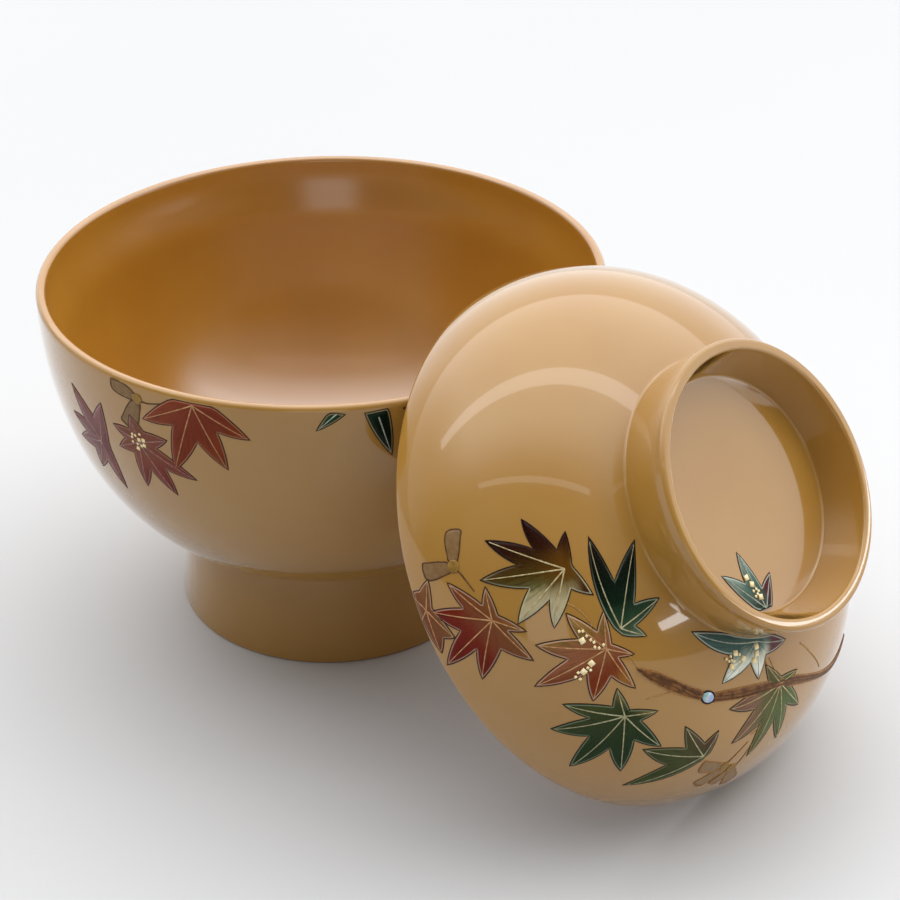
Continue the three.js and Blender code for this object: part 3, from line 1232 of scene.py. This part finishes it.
@dataclass(frozen=True)
class SeedKey:
    """A winged maple seed: two blades by heading and length, a nutlet and a stem."""

    name: str
    node: str
    hub: Hub
    wings: tuple[Point, ...]
    stem: tuple[Point, ...]
    fill: LineLacquer
    line: LineLacquer
    blade: tuple[Point, ...] = (
        (0.1, -0.1), (0.4, -0.2), (0.75, -0.24), (0.96, -0.25), (0.99, 0.02),
        (0.9, 0.2), (0.65, 0.23), (0.35, 0.18), (0.1, 0.12),
    )
    blade_steps: int = 5
    nutlet_size: float = 2.5
    nutlet_steps: int = 20
    nutlet_rise: float = 0.08
    lift: float = 0.06
    thickness: float = 0.3
    line_half: float = 0.13
    stem_halves: Point = (0.2, 0.12)
    cuts: int = 3

    def patch(self, name: str, outline: np.ndarray, lift: float, face: Face) -> Piece:
        """A raised patch on a face.

        Args:
            name: The name of the piece.
            outline: Its outline about the seed's hub.
            lift: How far it stands off the face.
            face: The face that carries it.

        Returns:
            The patch.
        """
        obj = sheet_from_outline(name, outline, outline.mean(0), self.cuts)
        drawn = get_points(obj)
        drawn[:, 2] = lift
        lay_sheet(obj, face, self.hub, drawn, self.thickness)
        return obj

    def build(self, face: Face) -> None:
        """Builds and dresses the blades, the nutlet, the outlines and the stem.

        Args:
            face: The face that carries the seed.
        """
        lines = []
        for i, (heading, length) in enumerate(self.wings):
            outline = headed(smooth_path(self.blade, self.blade_steps, True) * length, heading)
            obj = self.patch(f"{self.name}_wing_{i + 1}", outline, self.lift, face)
            keep(obj, face.body, (self.fill,), "" if i else self.node)
            lines.append(Stroke(outline, self.line_half, True))
        round_edge = oval(self.nutlet_size, self.nutlet_size, self.nutlet_steps)[:, ::-1]
        nutlet = self.patch(self.name + "_nutlet", round_edge, self.lift + self.nutlet_rise, face)
        keep(nutlet, face.body, (NUTLET_GOLD,))
        path = smooth_path([polar(*step) for step in self.stem])
        lines.append(Stroke(path, np.linspace(*self.stem_halves, len(path))))
        ink(self.name + "_lines", lines, face, self.hub, self.lift, self.line)


@dataclass(frozen=True)
class Branch:
    """A slender branch: knots of share, turn and half width."""

    name: str
    node: str
    hub: Hub
    knots: tuple[Spot, ...]
    lift: float = 0.07
    crown: float = 0.22
    thickness: float = 0.4
    columns: int = 6
    span_steps: int = 10
    edge_half: float = 0.14
    edge_lift: float = 0.1
    bark_half: float = 0.1
    bark_lift: float = 0.3
    bark_sides: Point = (-0.35, 0.4)
    bark_wave: float = 0.35
    bark_turn: float = 9.0

    def build(self, face: Face) -> None:
        """Builds and dresses the branch and the lines of its bark.

        Args:
            face: The face that carries the branch.
        """
        knots = [(*face.drawn_at(self.hub, share, turn), half) for share, turn, half in self.knots]
        path = smooth_path(knots, self.span_steps)
        middle, half = path[:, :2], path[:, 2]
        rows = len(path)
        start()
        bpy.ops.mesh.primitive_grid_add(x_subdivisions=rows - 1, y_subdivisions=self.columns, size=1.0)
        obj = named(self.name)
        flat = get_points(obj)
        row = np.rint((flat[:, 0] + 0.5) * (rows - 1)).astype(int)
        side = 2 * flat[:, 1]
        left, right = beside(middle, -half), beside(middle, half)
        share = ((side + 1) / 2)[:, None]
        rise = self.lift + self.crown * (1 - side**2)
        drawn = np.hstack([left[row] * (1 - share) + right[row] * share, rise[:, None]])
        lay_sheet(obj, face, self.hub, drawn, self.thickness)
        keep(obj, face.body, (BARK,), self.node)
        edges = [Stroke(line, self.edge_half) for line in (left, right)]
        ink(self.name + "_edges", edges, face, self.hub, self.edge_lift, TAN_LINE)
        wave = self.bark_wave * np.sin(np.linspace(0, self.bark_turn, rows))
        bark = [Stroke(beside(middle, half * (wave + place)), self.bark_half) for place in self.bark_sides]
        ink(self.name + "_bark", bark, face, self.hub, self.bark_lift, BROWN_LINE)


@dataclass(frozen=True)
class ShellInlay:
    """An oval of shell in a dark setting."""

    hub: Hub
    length: float = 2.9
    width: float = 2.2
    rise: float = 0.55
    sunk: float = 0.2
    lift: float = 0.05
    segments: int = 40
    rings: int = 20
    setting_half: float = 0.17
    setting_share: float = 1.12
    setting_lift: float = 0.12

    def build(self, face: Face) -> None:
        """Builds and dresses the shell and its setting.

        Args:
            face: The face that carries the shell.
        """
        start()
        bpy.ops.mesh.primitive_uv_sphere_add(segments=self.segments, ring_count=self.rings, radius=1.0)
        obj = named("shell_oval")
        edit_all()
        bpy.ops.transform.resize(value=(self.length / 2, self.width / 2, self.rise))
        low = (0, 0, -self.sunk)
        bpy.ops.mesh.bisect(plane_co=low, plane_no=(0, 0, 1), clear_inner=True, use_fill=True)
        edit_done()
        lay_solid(obj, face, self.hub, self.lift)
        keep(obj, face.body, (ShellLacquer(),), "shell_inlay")
        ring = oval(self.length, self.width, self.segments) * self.setting_share
        edge = [Stroke(ring, self.setting_half, True)]
        ink("shell_setting", edge, face, self.hub, self.setting_lift, DARK_LINE)


@dataclass(frozen=True)
class Stems:
    """Thin gold stems that join the leaves to the branch: knots of share and turn."""

    hub: Hub
    knots: tuple[tuple[Point, ...], ...]
    half: float = 0.13
    lift: float = 0.04

    def build(self, face: Face) -> None:
        """Builds and dresses the stems.

        Args:
            face: The face that carries the stems.
        """
        paths = [smooth_path([face.drawn_at(self.hub, *knot) for knot in stem]) for stem in self.knots]
        ink("stems", [Stroke(path, self.half) for path in paths], face, self.hub, self.lift, STEM_GOLD)


# Sub-assemblies


def lean_place() -> Matrix:
    """Where the lid stands: its axis is the joint's, and its rim plane is its lowest along it.

    Returns:
        The lid's place.
    """
    axis = Vector(frame["joints"][0]["axis"]).normalized()
    points = get_points(frame["nodes"]["lid"])
    heights = points @ np.array(axis)
    low = points[heights < heights.min() + RIM_SLACK]
    across = Vector((axis.z, 0, -axis.x))
    turn = Matrix((across, axis.cross(across), axis)).transposed().to_4x4()
    return Matrix.Translation(Vector(low.mean(0))) @ turn


class TurnedBody:
    """A body turned from one block, polished outside and satin inside."""

    body: str
    place: Matrix
    inside_tones = ("ae7a23", "a9731e")

    def profile(self) -> list[Point]:
        """The profile that is turned."""
        raise NotImplementedError

    def is_inside(self, height: float, out: float, up: float) -> bool:
        """Whether a face at a height, with its normal's outward and upward parts, is satin."""
        raise NotImplementedError

    def build(self) -> None:
        """Turns the body, and gives its inside the satin coat."""
        slot = self.body + "_lacquer"
        polished = GroundLacquer(self.body + "_polished", slot, Gloss.POLISHED)
        satin = GroundLacquer(self.body + "_satin", slot, Gloss.SATIN, *self.inside_tones)
        obj = turn_profile(self.body + "_body", self.profile(), self.place)
        keep(obj, self.body, (polished, satin), self.body)
        back = self.place.inverted()
        turn = back.to_3x3()
        for polygon in obj.data.polygons:
            centre = back @ polygon.center
            normal = turn @ polygon.normal
            out = normal.dot(Vector((centre.x, centre.y, 0)).normalized())
            polygon.material_index = int(self.is_inside(centre.z / MM, out, normal.z))


@dataclass
class Bowl(TurnedBody):
    """The footed bowl."""

    rim_radius: float = 63.0
    height: float = 82.5
    lip: float = 2.2
    wall: float = 4.6
    lip_depth: float = 15.0
    side_power: float = 2.9
    depth_power: float = 2.14
    floor: float = 5.7
    foot_height: float = 21.3
    neck_radius: float = 33.4
    neck_round: float = 0.8
    foot_radius: float = 36.4
    foot_wall: float = 3.4
    foot_edge: float = 0.6
    foot_fillet: float = 2.0
    seat_depth: float = 15.0
    seat_clearance: float = 0.5
    inward: float = -0.2
    level: float = 0.97

    def __post_init__(self) -> None:
        """Works out the curves and the place from the sizes and the frame."""
        self.body = "bowl"
        self.top = self.height - self.lip / 2
        fall = (1 - (self.neck_radius / self.rim_radius) ** self.side_power) ** (1 / self.depth_power)
        depth = (self.top - self.foot_height) / fall
        self.curve = quarter_curve(self.rim_radius, depth, self.side_power, self.depth_power)
        self.inner = inner_curve(self.curve, self.lip, self.wall, self.lip_depth)
        low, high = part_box("bowl")
        self.place = Matrix.Translation(((low.x + high.x) / 2, (low.y + high.y) / 2, 0))

    def lid_radius(self) -> float:
        """The radius of a lid that fits the inside at the depth of its seat."""
        depth = self.seat_depth - self.lip / 2
        return float(np.interp(depth, self.inner[:, 1], self.inner[:, 0])) - self.seat_clearance

    def standing(self, curve: np.ndarray) -> np.ndarray:
        """A curve of radius and depth as radius and height."""
        return np.stack([curve[:, 0], self.top - curve[:, 1]], 1)

    def profile(self) -> list[Point]:
        """The profile that is turned, from under the foot round to the inside.

        Returns:
            Points of radius and height.
        """
        inside = self.standing(self.inner)
        ceiling = inside[-1, 1] - self.floor
        corner = self.neck_radius - self.foot_wall - self.foot_fillet
        standing = self.foot_radius - self.foot_wall
        outside = self.standing(down_to(self.curve, self.neck_radius + self.neck_round))
        neck = np.array([self.neck_radius, self.foot_height])
        edge = self.foot_edge
        foot_top = np.array([self.foot_radius, edge])
        below = neck + (foot_top - neck) * self.neck_round / (self.foot_height - edge)
        return joined(
            np.array([[0.0, ceiling]]),
            arc(corner, ceiling - self.foot_fillet, self.foot_fillet, 90, 0),
            arc(standing + edge, edge, edge, 180, 270),
            arc(self.foot_radius - edge, edge, edge, -90, 0),
            bent(below, neck, outside[-1], ARC_STEPS + 1),
            spaced(outside)[::-1],
            arc(self.rim_radius - self.lip / 2, self.top, self.lip / 2, 0, 180),
            spaced(inside),
        )

    def is_inside(self, height: float, out: float, up: float) -> bool:
        """Whether a face over the foot faces the axis, or lies flat on the floor."""
        shown = out < self.inward or up > self.level
        return shown and up > self.inward and height > self.foot_height - self.floor

    def face(self) -> Face:
        """The outside, from the rim down to the neck."""
        wall = self.standing(down_to(self.curve, self.neck_radius))
        return Face(spaced(wall, FACE_STEPS), self.place, self.body)


@dataclass
class Lid(TurnedBody):
    """The domed lid with its grip ring."""

    radius: float
    place: Matrix
    dome_height: float = 36.7
    side_power: float = 2.9
    dome_power: float = 1.96
    lip: float = 1.6
    lip_depth: float = 12.0
    wall: float = 3.2
    ring_radius: float = 29.2
    ring_flare: float = 1.1
    ring_round: float = 0.5
    ring_rise: float = 8.9
    ring_lip: float = 2.5
    ring_outer_round: float = 0.9
    ring_inner_round: float = 0.7
    recess_taper: float = 2.5
    recess_fillet: float = 0.6
    inside_gap: float = 0.5
    inside_up: float = -0.1
    inside_out: float = 0.3

    def __post_init__(self) -> None:
        """Works out the curves from the sizes."""
        self.body = "lid"
        depth = self.dome_height - self.lip / 2
        self.curve = quarter_curve(self.radius, depth, self.side_power, self.dome_power)
        self.inner = inner_curve(self.curve, self.lip, self.wall, self.lip_depth)
        self.ring_base = self.ring_radius - self.ring_flare
        self.recess_flat = self.ring_radius - self.ring_lip - self.recess_taper - self.recess_fillet

    def standing(self, curve: np.ndarray) -> np.ndarray:
        """A curve of radius and depth as radius and height over the rim."""
        return np.stack([curve[:, 0], curve[:, 1] + self.lip / 2], 1)

    def profile(self) -> list[Point]:
        """The profile that is turned, from the inside round to the recess.

        Returns:
            Points of radius and height.
        """
        outer, inner = self.ring_outer_round, self.ring_inner_round
        top = self.dome_height + self.ring_rise
        dome = self.standing(down_to(self.curve, self.ring_base + self.ring_round))
        base = self.standing(down_to(self.curve, self.ring_base))[-1]
        above = base + np.array([self.ring_flare, top - base[1]]) * self.ring_round / (top - base[1])
        return joined(
            spaced(self.standing(self.inner))[::-1],
            arc(self.radius - self.lip / 2, self.lip / 2, self.lip / 2, -180, 0),
            spaced(dome),
            bent(dome[-1], base, above, ARC_STEPS + 1),
            arc(self.ring_radius - outer, top - outer, outer, 0, 90),
            arc(self.ring_radius - self.ring_lip + inner, top - inner, inner, 90, 180),
            arc(self.recess_flat, self.dome_height + self.recess_fillet, self.recess_fillet, 0, -90),
            np.array([[0.0, self.dome_height]]),
        )

    def is_inside(self, height: float, out: float, up: float) -> bool:
        """Whether a face under the dome faces down to the rim's plane."""
        below = height < self.dome_height - self.inside_gap
        return below and up < self.inside_up and out < self.inside_out

    def dome_face(self) -> Face:
        """The dome, from the ring to the rim."""
        dome = self.standing(down_to(self.curve, self.ring_base))
        return Face(spaced(dome, FACE_STEPS)[::-1], self.place, self.body)

    def recess_face(self) -> Face:
        """The recess's floor, from the axis to the fillet."""
        flat = np.array([[0.0, self.dome_height], [self.recess_flat, self.dome_height]])
        return FlatFace(flat, self.place, self.body)


# Leaves, seeds and branches as the photograph has them

# Red leaf: the pale tan at the -9 end of its stops is partly gold powder and partly a painted highlight on
# the upper lobe.
RED_LEAF = LeafLacquer(
    "red_leaf", "leaf_red", 15,
    (
        (-9, "926b48"), (-3.5, "855b36"), (-0.5, "774a28"), (2.5, "773f25"),
        (5, "722513"), (9, "691507"), (15, "641207"),
    ),
    "773f25", 0.3, 5, "bc9c85", 0.6,
)
RED_GOLD_LEAF = LeafLacquer(
    "red_gold_leaf", "leaf_red", 70,
    (
        (-7, "9c773f"), (-4, "7f5f2c"), (-2.2, "905d3d"), (1.2, "8b5436"),
        (3, "7f4123"), (5, "7a3213"), (11, "72240e"),
    ),
    "7f4f23", 0.4, 4, "cba78e", 0.65, side="946327", side_heading=100, side_run=(3.5, 7),
)
# Brown leaf: the run from near black to pale tan along its heading is partly the leaf's own lacquer
# gradient and partly a painted reflection.
BROWN_LEAF = LeafLacquer(
    "brown_leaf", "leaf_brown", 78,
    (
        (-11, "1e0604"), (-5, "2c1006"), (-2, "412a0b"), (0.5, "4d3c12"),
        (2.2, "5b562c"), (3.6, "9e9269"), (6, "b5a782"), (9, "bcaf8e"),
    ),
    "643d0b", 0.85, 6.5, "bfbc99", 0.65, ((-2.0, 0.0), (3.0, 1.0)),
    side="3f2307", side_heading=160, side_run=(1.0, 3.5),
)
DARK_LEAF = LeafLacquer(
    "dark_leaf", "leaf_dark_green", -110,
    (
        (-4, "798064"), (-1.5, "54644b"), (1.5, "28412c"), (5, "0b2113"),
        (9, "06150b"), (14, "0f0b05"), (18, "1e0706"),
    ),
    "0e2819", 0.4, 4, "9aa38c", 0.6, ((4.0, 1.0), (12.0, 0.15)),
)
GREEN_LEAF = LeafLacquer(
    "green_leaf", "leaf_green", -121, ((-10, "1a2f15"), (-5, "233619"), (0, "2f3d1e"), (4, "3f4621")),
    "233113", 0.5, 5, "859276", 0.6, side="746433", side_heading=185, side_run=(0.8, 3.2),
)
SIDE_LEAF = LeafLacquer(
    "side_leaf", "leaf_green", 150,
    ((-14, "3a4821"), (-8, "38411a"), (-4, "444a27"), (0, "4a4628"), (3, "5f3c2e")),
    "31381a", 0.5, 5, "929272", 0.55,
)
GREEN_PURPLE_LEAF = LeafLacquer(
    "green_purple_leaf", "leaf_green", -100,
    ((-8, "58693e"), (0, "566338"), (4, "635c39"), (7, "83614c"), (12, "7c5042")),
    "564b29", 0.6, 5, "b5a680", 0.55,
)
PALE_LEAF = LeafLacquer(
    "pale_leaf", "leaf_pale_green", 15,
    ((-4, "34504a"), (0.3, "48625a"), (1.6, "84968a"), (3, "d6dac6"), (5, "eef0e0"), (9, "f2f4e6")),
    "314a3a", 0.3, 4, "c2c6b5", 0.7, side="643d3f", side_heading=84, side_run=(2.4, 5.0),
)
RECESS_LEAF = LeafLacquer(
    "recess_leaf", "leaf_pale_green", -140,
    ((-3, "25332a"), (2, "273c31"), (6, "415f52"), (10, "7d8e82"), (13, "9aa599")),
    "25382c", 0.5, 5, "b1baae", 0.75, side="4f1a21", side_heading=100, side_run=(0.3, 1.8),
)
PURPLE_LEAF = LeafLacquer(
    "purple_leaf", "leaf_purple", 0, ((-12, "8d5f5e"), (0, "794646"), (10, "89504d")),
    "6b3a3e", 0.5, 6, "c79f9d", 0.5,
)
DUSTY_LEAF = LeafLacquer(
    "dusty_leaf", "leaf_red", 20,
    ((-8, "81583d"), (-2, "804a3c"), (4, "804331"), (9, "773227"), (14, "6d241e")),
    "815436", 0.5, 5, "bd8e80", 0.5,
)
DEEP_RED_LEAF = LeafLacquer(
    "deep_red_leaf", "leaf_red", 40,
    ((-12, "89442c"), (-1.6, "833c23"), (4, "782f1a"), (9, "7b3213"), (15, "7d3713")),
    "792f1a", 0.4, 6, "c78e6f", 0.5,
)
RIM_GREEN_LEAF = LeafLacquer(
    "rim_green_leaf", "leaf_dark_green", 70, ((-6, "174d28"), (0, "0c2c13"), (4, "07170c")),
    "0b2512", 0.3, 5, "a08e6b", 0.7,
)

INLAY_HUB = Hub(0.272, -41.0)
DOME_FIGURES = (
    Branch(
        "branch_left", "lid_branch_left", INLAY_HUB,
        (
            (0.319, -65.6, 0.12), (0.308, -62.5, 0.6), (0.297, -59.0, 1.0), (0.287, -54.0, 1.1),
            (0.28, -49.0, 1.05), (0.274, -45.5, 0.95), (0.272, -43.2, 0.9),
        ),
    ),
    Branch(
        "branch_right", "lid_branch_right", INLAY_HUB,
        (
            (0.268, -38.9, 0.9), (0.252, -35.5, 1.0), (0.237, -30.5, 1.1), (0.224, -22.8, 1.1),
            (0.228, -14.0, 1.0), (0.25, -5.5, 0.85), (0.3, 2.5, 0.6), (0.36, 9.5, 0.45),
            (0.43, 17.0, 0.38), (0.5, 25.5, 0.25), (0.55, 32.0, 0.12),
        ),
    ),
    Leaf(
        "leaf_brown", "lid_leaf_brown", Hub(0.34, -98.4),
        ((-13, 16.2), (-39, 16.4), (-66, 12.8), (-110, 6.9), (28, 13.8), (56, 11.7), (114, 7.2)),
        BROWN_LEAF, CREAM_LINE, plain_lobes=(-66, -110, 114),
    ),
    Leaf(
        "leaf_dark", "lid_leaf_dark", Hub(0.26, -77.2),
        ((-98, 18), (-136, 15.7), (175, 9.8), (122, 5.5)),
        DARK_LEAF, PALE_LINE,
    ),
    Leaf(
        "leaf_red_edge", "", Hub(0.955, -100),
        ((-117, 6.2), (121, 7.8), (84, 8.8), (35, 5.0), (-55, 5.0)),
        RED_LEAF, GOLD_LINE, notch_share=0.8,
    ),
    Leaf(
        "leaf_red", "lid_leaf_red", Hub(0.683, -93.9),
        ((20, 15.2), (-25, 13.2), (51, 12.9), (-58, 11.5), (108, 10.7), (139, 6.7), (-101, 6.5)),
        RED_LEAF, GOLD_LINE,
    ),
    Leaf(
        "leaf_red_gold", "lid_leaf_red_gold", Hub(0.354, -75.5),
        ((-8, 15.5), (-40, 13.8), (39, 11), (-76, 10.7), (83, 10.4), (-122, 7.1), (126, 5.7)),
        RED_GOLD_LEAF, GOLD_LINE,
        (GoldCluster(-67, (0.4, 6.6), 0.9, 9, 3), GoldCluster(8, (3.6, 8.4), 0.8, 7, 5)),
    ),
    Leaf(
        "leaf_green", "lid_leaf_green", Hub(0.495, -59.3),
        ((6, 16.7), (42, 14.8), (-34, 14.6), (-59, 12.7), (81, 11.8), (132, 6.6), (-121, 6.2)),
        GREEN_LEAF, PALE_LINE,
    ),
    Leaf(
        "leaf_green_side", "lid_leaf_green_side", Hub(0.532, -33),
        ((-42, 17.2), (-81, 14.7), (-124, 10), (176, 6.2)),
        SIDE_LEAF, PALE_LINE,
    ),
    Leaf(
        "leaf_green_purple", "lid_leaf_green_purple", Hub(0.226, -11.9),
        ((-17, 16.9), (-45, 16.4), (-75, 14.9), (13, 14.9), (45, 11.9), (-138, 6.6), (97, 5.9)),
        GREEN_PURPLE_LEAF, CREAM_LINE,
    ),
    Leaf(
        "leaf_by_ring", "lid_leaf_by_ring", Hub(0.02, -25),
        ((-83, 17.7), (-43, 12), (12, 7.8), (81, 9.4)),
        PALE_LEAF, SILVER_LINE,
        (GoldCluster(-58, (4.5, 9.0), 1.1, 10, 8), GoldCluster(0, (0.6, 4.2), 0.5, 5, 11)),
    ),
    SeedKey(
        "seed_upper", "lid_seed_key_upper", Hub(0.762, -106.5), ((-102, 7.0), (-3, 7.2)),
        ((118, 1.2), (121, 2.1), (117, 4.0), (115, 6.2)), SEED_GREY, BROWN_LINE,
    ),
    SeedKey(
        "seed_lower", "lid_seed_key_lower", Hub(0.6, -23.5), ((-90, 7.0), (-31, 7.2)),
        ((160, 1.0), (160, 2.6), (154, 6.7)), SEED_FAINT, TAN_LINE,
    ),
    SeedKey(
        "seed_lower_right", "", Hub(0.622, -20.7), ((-18, 5.6), (34, 7.4)),
        ((120, 0.8), (135, 2.0), (160, 6.5)), SEED_FAINT, TAN_LINE,
    ),
    ShellInlay(INLAY_HUB),
)
RECESS_FIGURES = (
    Leaf(
        "leaf_in_recess", "lid_leaf_in_recess", Hub(0.985, -21),
        ((-125.9, 12.8), (-158.1, 12.6), (154.1, 7.7)),
        RECESS_LEAF, SILVER_LINE, (GoldCluster(-150, (2.5, 7.8), 0.9, 8, 4),),
    ),
)
BOWL_FIGURES = (
    Leaf(
        "bowl_purple", "bowl_leaf_purple", Hub(0.262, -96.7),
        ((-143, 13.7), (166, 11.2), (-105, 11.0), (-72, 10.5), (-25, 10.2), (14, 12.4)),
        PURPLE_LEAF, LILAC_LINE,
    ),
    Leaf(
        "bowl_dusty", "bowl_leaf_red", Hub(0.189, -84.7),
        ((65, 14.3), (30, 13.9), (-5, 12.5), (-62, 7.5), (-105, 7.5), (-165, 6.5), (110, 8)),
        DUSTY_LEAF, LILAC_LINE, (GoldCluster(-150, (-1.4, 2.2), 1.7, 11, 6, (0.5, 0.8)),),
    ),
    Leaf(
        "bowl_deep_red", "bowl_leaf_red_rim", Hub(0.008, -71.5),
        ((-63, 14.1), (-19, 18.5), (24, 15.8), (62, 13.4)),
        DEEP_RED_LEAF, GOLD_LINE,
    ),
    RimLobe(
        "bowl_rim_green", "bowl_leaf_green_rim", Hub(-0.049, -38.6), ((15.4, 15.4),),
        RIM_GREEN_LEAF, SILVER_LINE,
    ),
    RimLobe(
        "bowl_rim_green_left", "", Hub(-0.026, -42.7), ((-47.6, 8.8),), RIM_GREEN_LEAF, SILVER_LINE,
    ),
    RimLobe(
        "bowl_rim_green_right", "", Hub(-0.026, -33.3), ((47.6, 8.8),), RIM_GREEN_LEAF, SILVER_LINE,
    ),
    SeedKey(
        "bowl_seed", "bowl_seed_key", Hub(0.036, -83.7), ((-104, 7.5), (-24, 8.6)),
        ((70, 1.0), (85, 3.0), (95, 6.0)), SEED_GREY, BROWN_LINE,
    ),
)
DOME_STEMS = Stems(
    Hub(0.3, -60.0),
    (
        ((0.39, -91.0), (0.36, -88.0), (0.345, -84.0), (0.36, -80.5)),
        ((0.325, -72.5), (0.305, -70.6), (0.308, -67.5), (0.318, -65.3)),
        ((0.39, -58.0), (0.355, -56.0), (0.33, -54.3), (0.3, -52.5)),
        ((0.085, -21.0), (0.15, -17.0), (0.216, -11.9)),
        ((0.1, -17.5), (0.16, -14.5), (0.216, -11.9)),
        ((0.11, 0.5), (0.147, 3.1), (0.252, 7.9), (0.31, 9.5)),
        ((0.44, -20.0), (0.39, -16.5), (0.3, -13.0)),
    ),
)


# Studio


@dataclass(frozen=True)
class Lamp:
    """A soft oblong lamp. Place and target are metres to the right, behind and up for the camera,
    size is its width and depth, and level is how bright its face is, where 1 is white."""

    name: str
    place: Spot
    target: Spot
    size: Point
    level: float

    def hang(self, turned: Matrix) -> None:
        """Hangs the lamp.

        Args:
            turned: The camera's heading about the upright.
        """
        data = bpy.data.lights.new(self.name, "AREA")
        data.shape = "RECTANGLE"
        data.size, data.size_y = self.size
        data.energy = self.level * math.pi * math.prod(self.size)
        obj = bpy.data.objects.new(self.name, data)
        aim = (Vector(self.target) - Vector(self.place)).to_track_quat("-Z", "Y").to_matrix().to_4x4()
        obj.matrix_world = turned @ Matrix.Translation(self.place) @ aim
        obj.visible_camera = False
        bpy.context.scene.collection.objects.link(obj)


@dataclass
class Studio:
    """The table top, the soft light and the camera of the photograph."""

    camera_place: Spot = (248.8, -297.5, 283.4)
    heading: float = 39.8
    pitch: float = 31.203
    roll: float = -0.2636
    lens: float = 82.0
    sensor: float = 36.0
    clip_start: float = 0.01
    floor_size: float = 12.0
    lamps: tuple[Lamp, ...] = (
        Lamp("lamp_strip", (0.0, 0.105, 1.0), (0.0, 0.105, 0.0), (2.6, 0.12), 2.0),
        Lamp("lamp_front", (0.0, -0.56, 1.0), (0.0, -0.56, 0.0), (1.4, 0.05), 1.25),
        Lamp("lamp_right", (0.26, -0.079, 0.095), (0.07, -0.03, 0.06), (0.26, 0.012), 7.0),
        Lamp("lamp_low", (-0.04, -1.2, 0.22), (0.0, 0.0, 0.07), (0.48, 0.36), 1.15),
    )
    front_levels: Spot = (0.12, 0.4, 2.55)
    level_runs: Spot = (-0.8, -0.25, 0.32)
    lean: float = 0.35
    side_run: Point = (0.55, 0.95)
    left_share: float = 0.35
    right_share: float = 0.75
    edge_rise: float = 0.65
    edge_blur: float = 0.004
    under_edge: float = 0.55
    room: str = "fcfdff"

    def turned(self) -> Matrix:
        """The camera's heading about the upright."""
        return Matrix.Rotation(math.radians(self.heading), 4, "Z")

    def camera(self) -> None:
        """Sets up the camera at the photograph's angle."""
        data = bpy.data.cameras.new("camera")
        data.lens = self.lens
        data.sensor_width = self.sensor
        data.clip_start = self.clip_start
        obj = bpy.data.objects.new("camera", data)
        tilt = Matrix.Rotation(math.radians(90 - self.pitch), 4, "X")
        roll = Matrix.Rotation(math.radians(self.roll), 4, "Z")
        obj.matrix_world = Matrix.Translation(Vector(self.camera_place) * MM) @ self.turned() @ tilt @ roll
        bpy.context.scene.collection.objects.link(obj)
        bpy.context.scene.camera = obj

    def floor(self) -> None:
        """Lays the table top."""
        start()
        bpy.ops.mesh.primitive_plane_add(size=self.floor_size)
        obj = named("table_top")
        obj.data.materials.append(material_of(FloorPaint()))

    def world(self) -> None:
        """Fills the room with light that is strong above and behind, over the edge of a wall behind."""
        world = bpy.data.worlds.new("room")
        world.use_nodes = True
        shader = Shader(world.node_tree)
        way = shader.node("ShaderNodeTexCoord", {}, {}, "Generated")
        facing, sideways = (
            shader.vector("DOT_PRODUCT", way, tuple(self.turned() @ Vector(axis)), output=1)
            for axis in ((0, 1, 0), (1, 0, 0))
        )
        up = shader.axis(way, "Z")
        run = facing + self.lean * up
        low, middle, high = self.front_levels
        start_run, middle_run, end_run = self.level_runs
        level = low + (middle - low) * run.climb(start_run, middle_run)
        level = level + (high - middle) * run.climb(middle_run, end_run)
        edge = (up - self.edge_rise * facing).climb(-self.edge_blur, self.edge_blur)
        left, right = (0 - sideways).climb(*self.side_run), sideways.climb(*self.side_run)
        level = level * (1 - (1 - self.under_edge) * (1 - edge))
        level = level * (1 - (1 - self.left_share) * left) * (1 - (1 - self.right_share) * right)
        background = world.node_tree.nodes["Background"]
        background.inputs["Color"].default_value = paint(self.room)
        shader.feed(background.inputs["Strength"], level)
        bpy.context.scene.world = world

    def build(self) -> None:
        """Builds the studio."""
        bpy.context.scene.view_settings.view_transform = "Standard"
        self.camera()
        self.floor()
        for lamp in self.lamps:
            lamp.hang(self.turned())
        self.world()


def main() -> None:
    """Builds the studio, the bowl, the lid and their decoration."""
    logging.basicConfig(level=logging.INFO, format="%(message)s")
    Studio().build()
    bowl = Bowl()
    bowl.build()
    lid = Lid(bowl.lid_radius(), lean_place())
    lid.build()
    dome = lid.dome_face()
    drawings = ((dome, DOME_FIGURES), (lid.recess_face(), RECESS_FIGURES), (bowl.face(), BOWL_FIGURES))
    for face, figures in (*drawings, (dome, (DOME_STEMS,))):
        for figure in figures:
            figure.build(face)


if __name__ == "__main__":
    main()
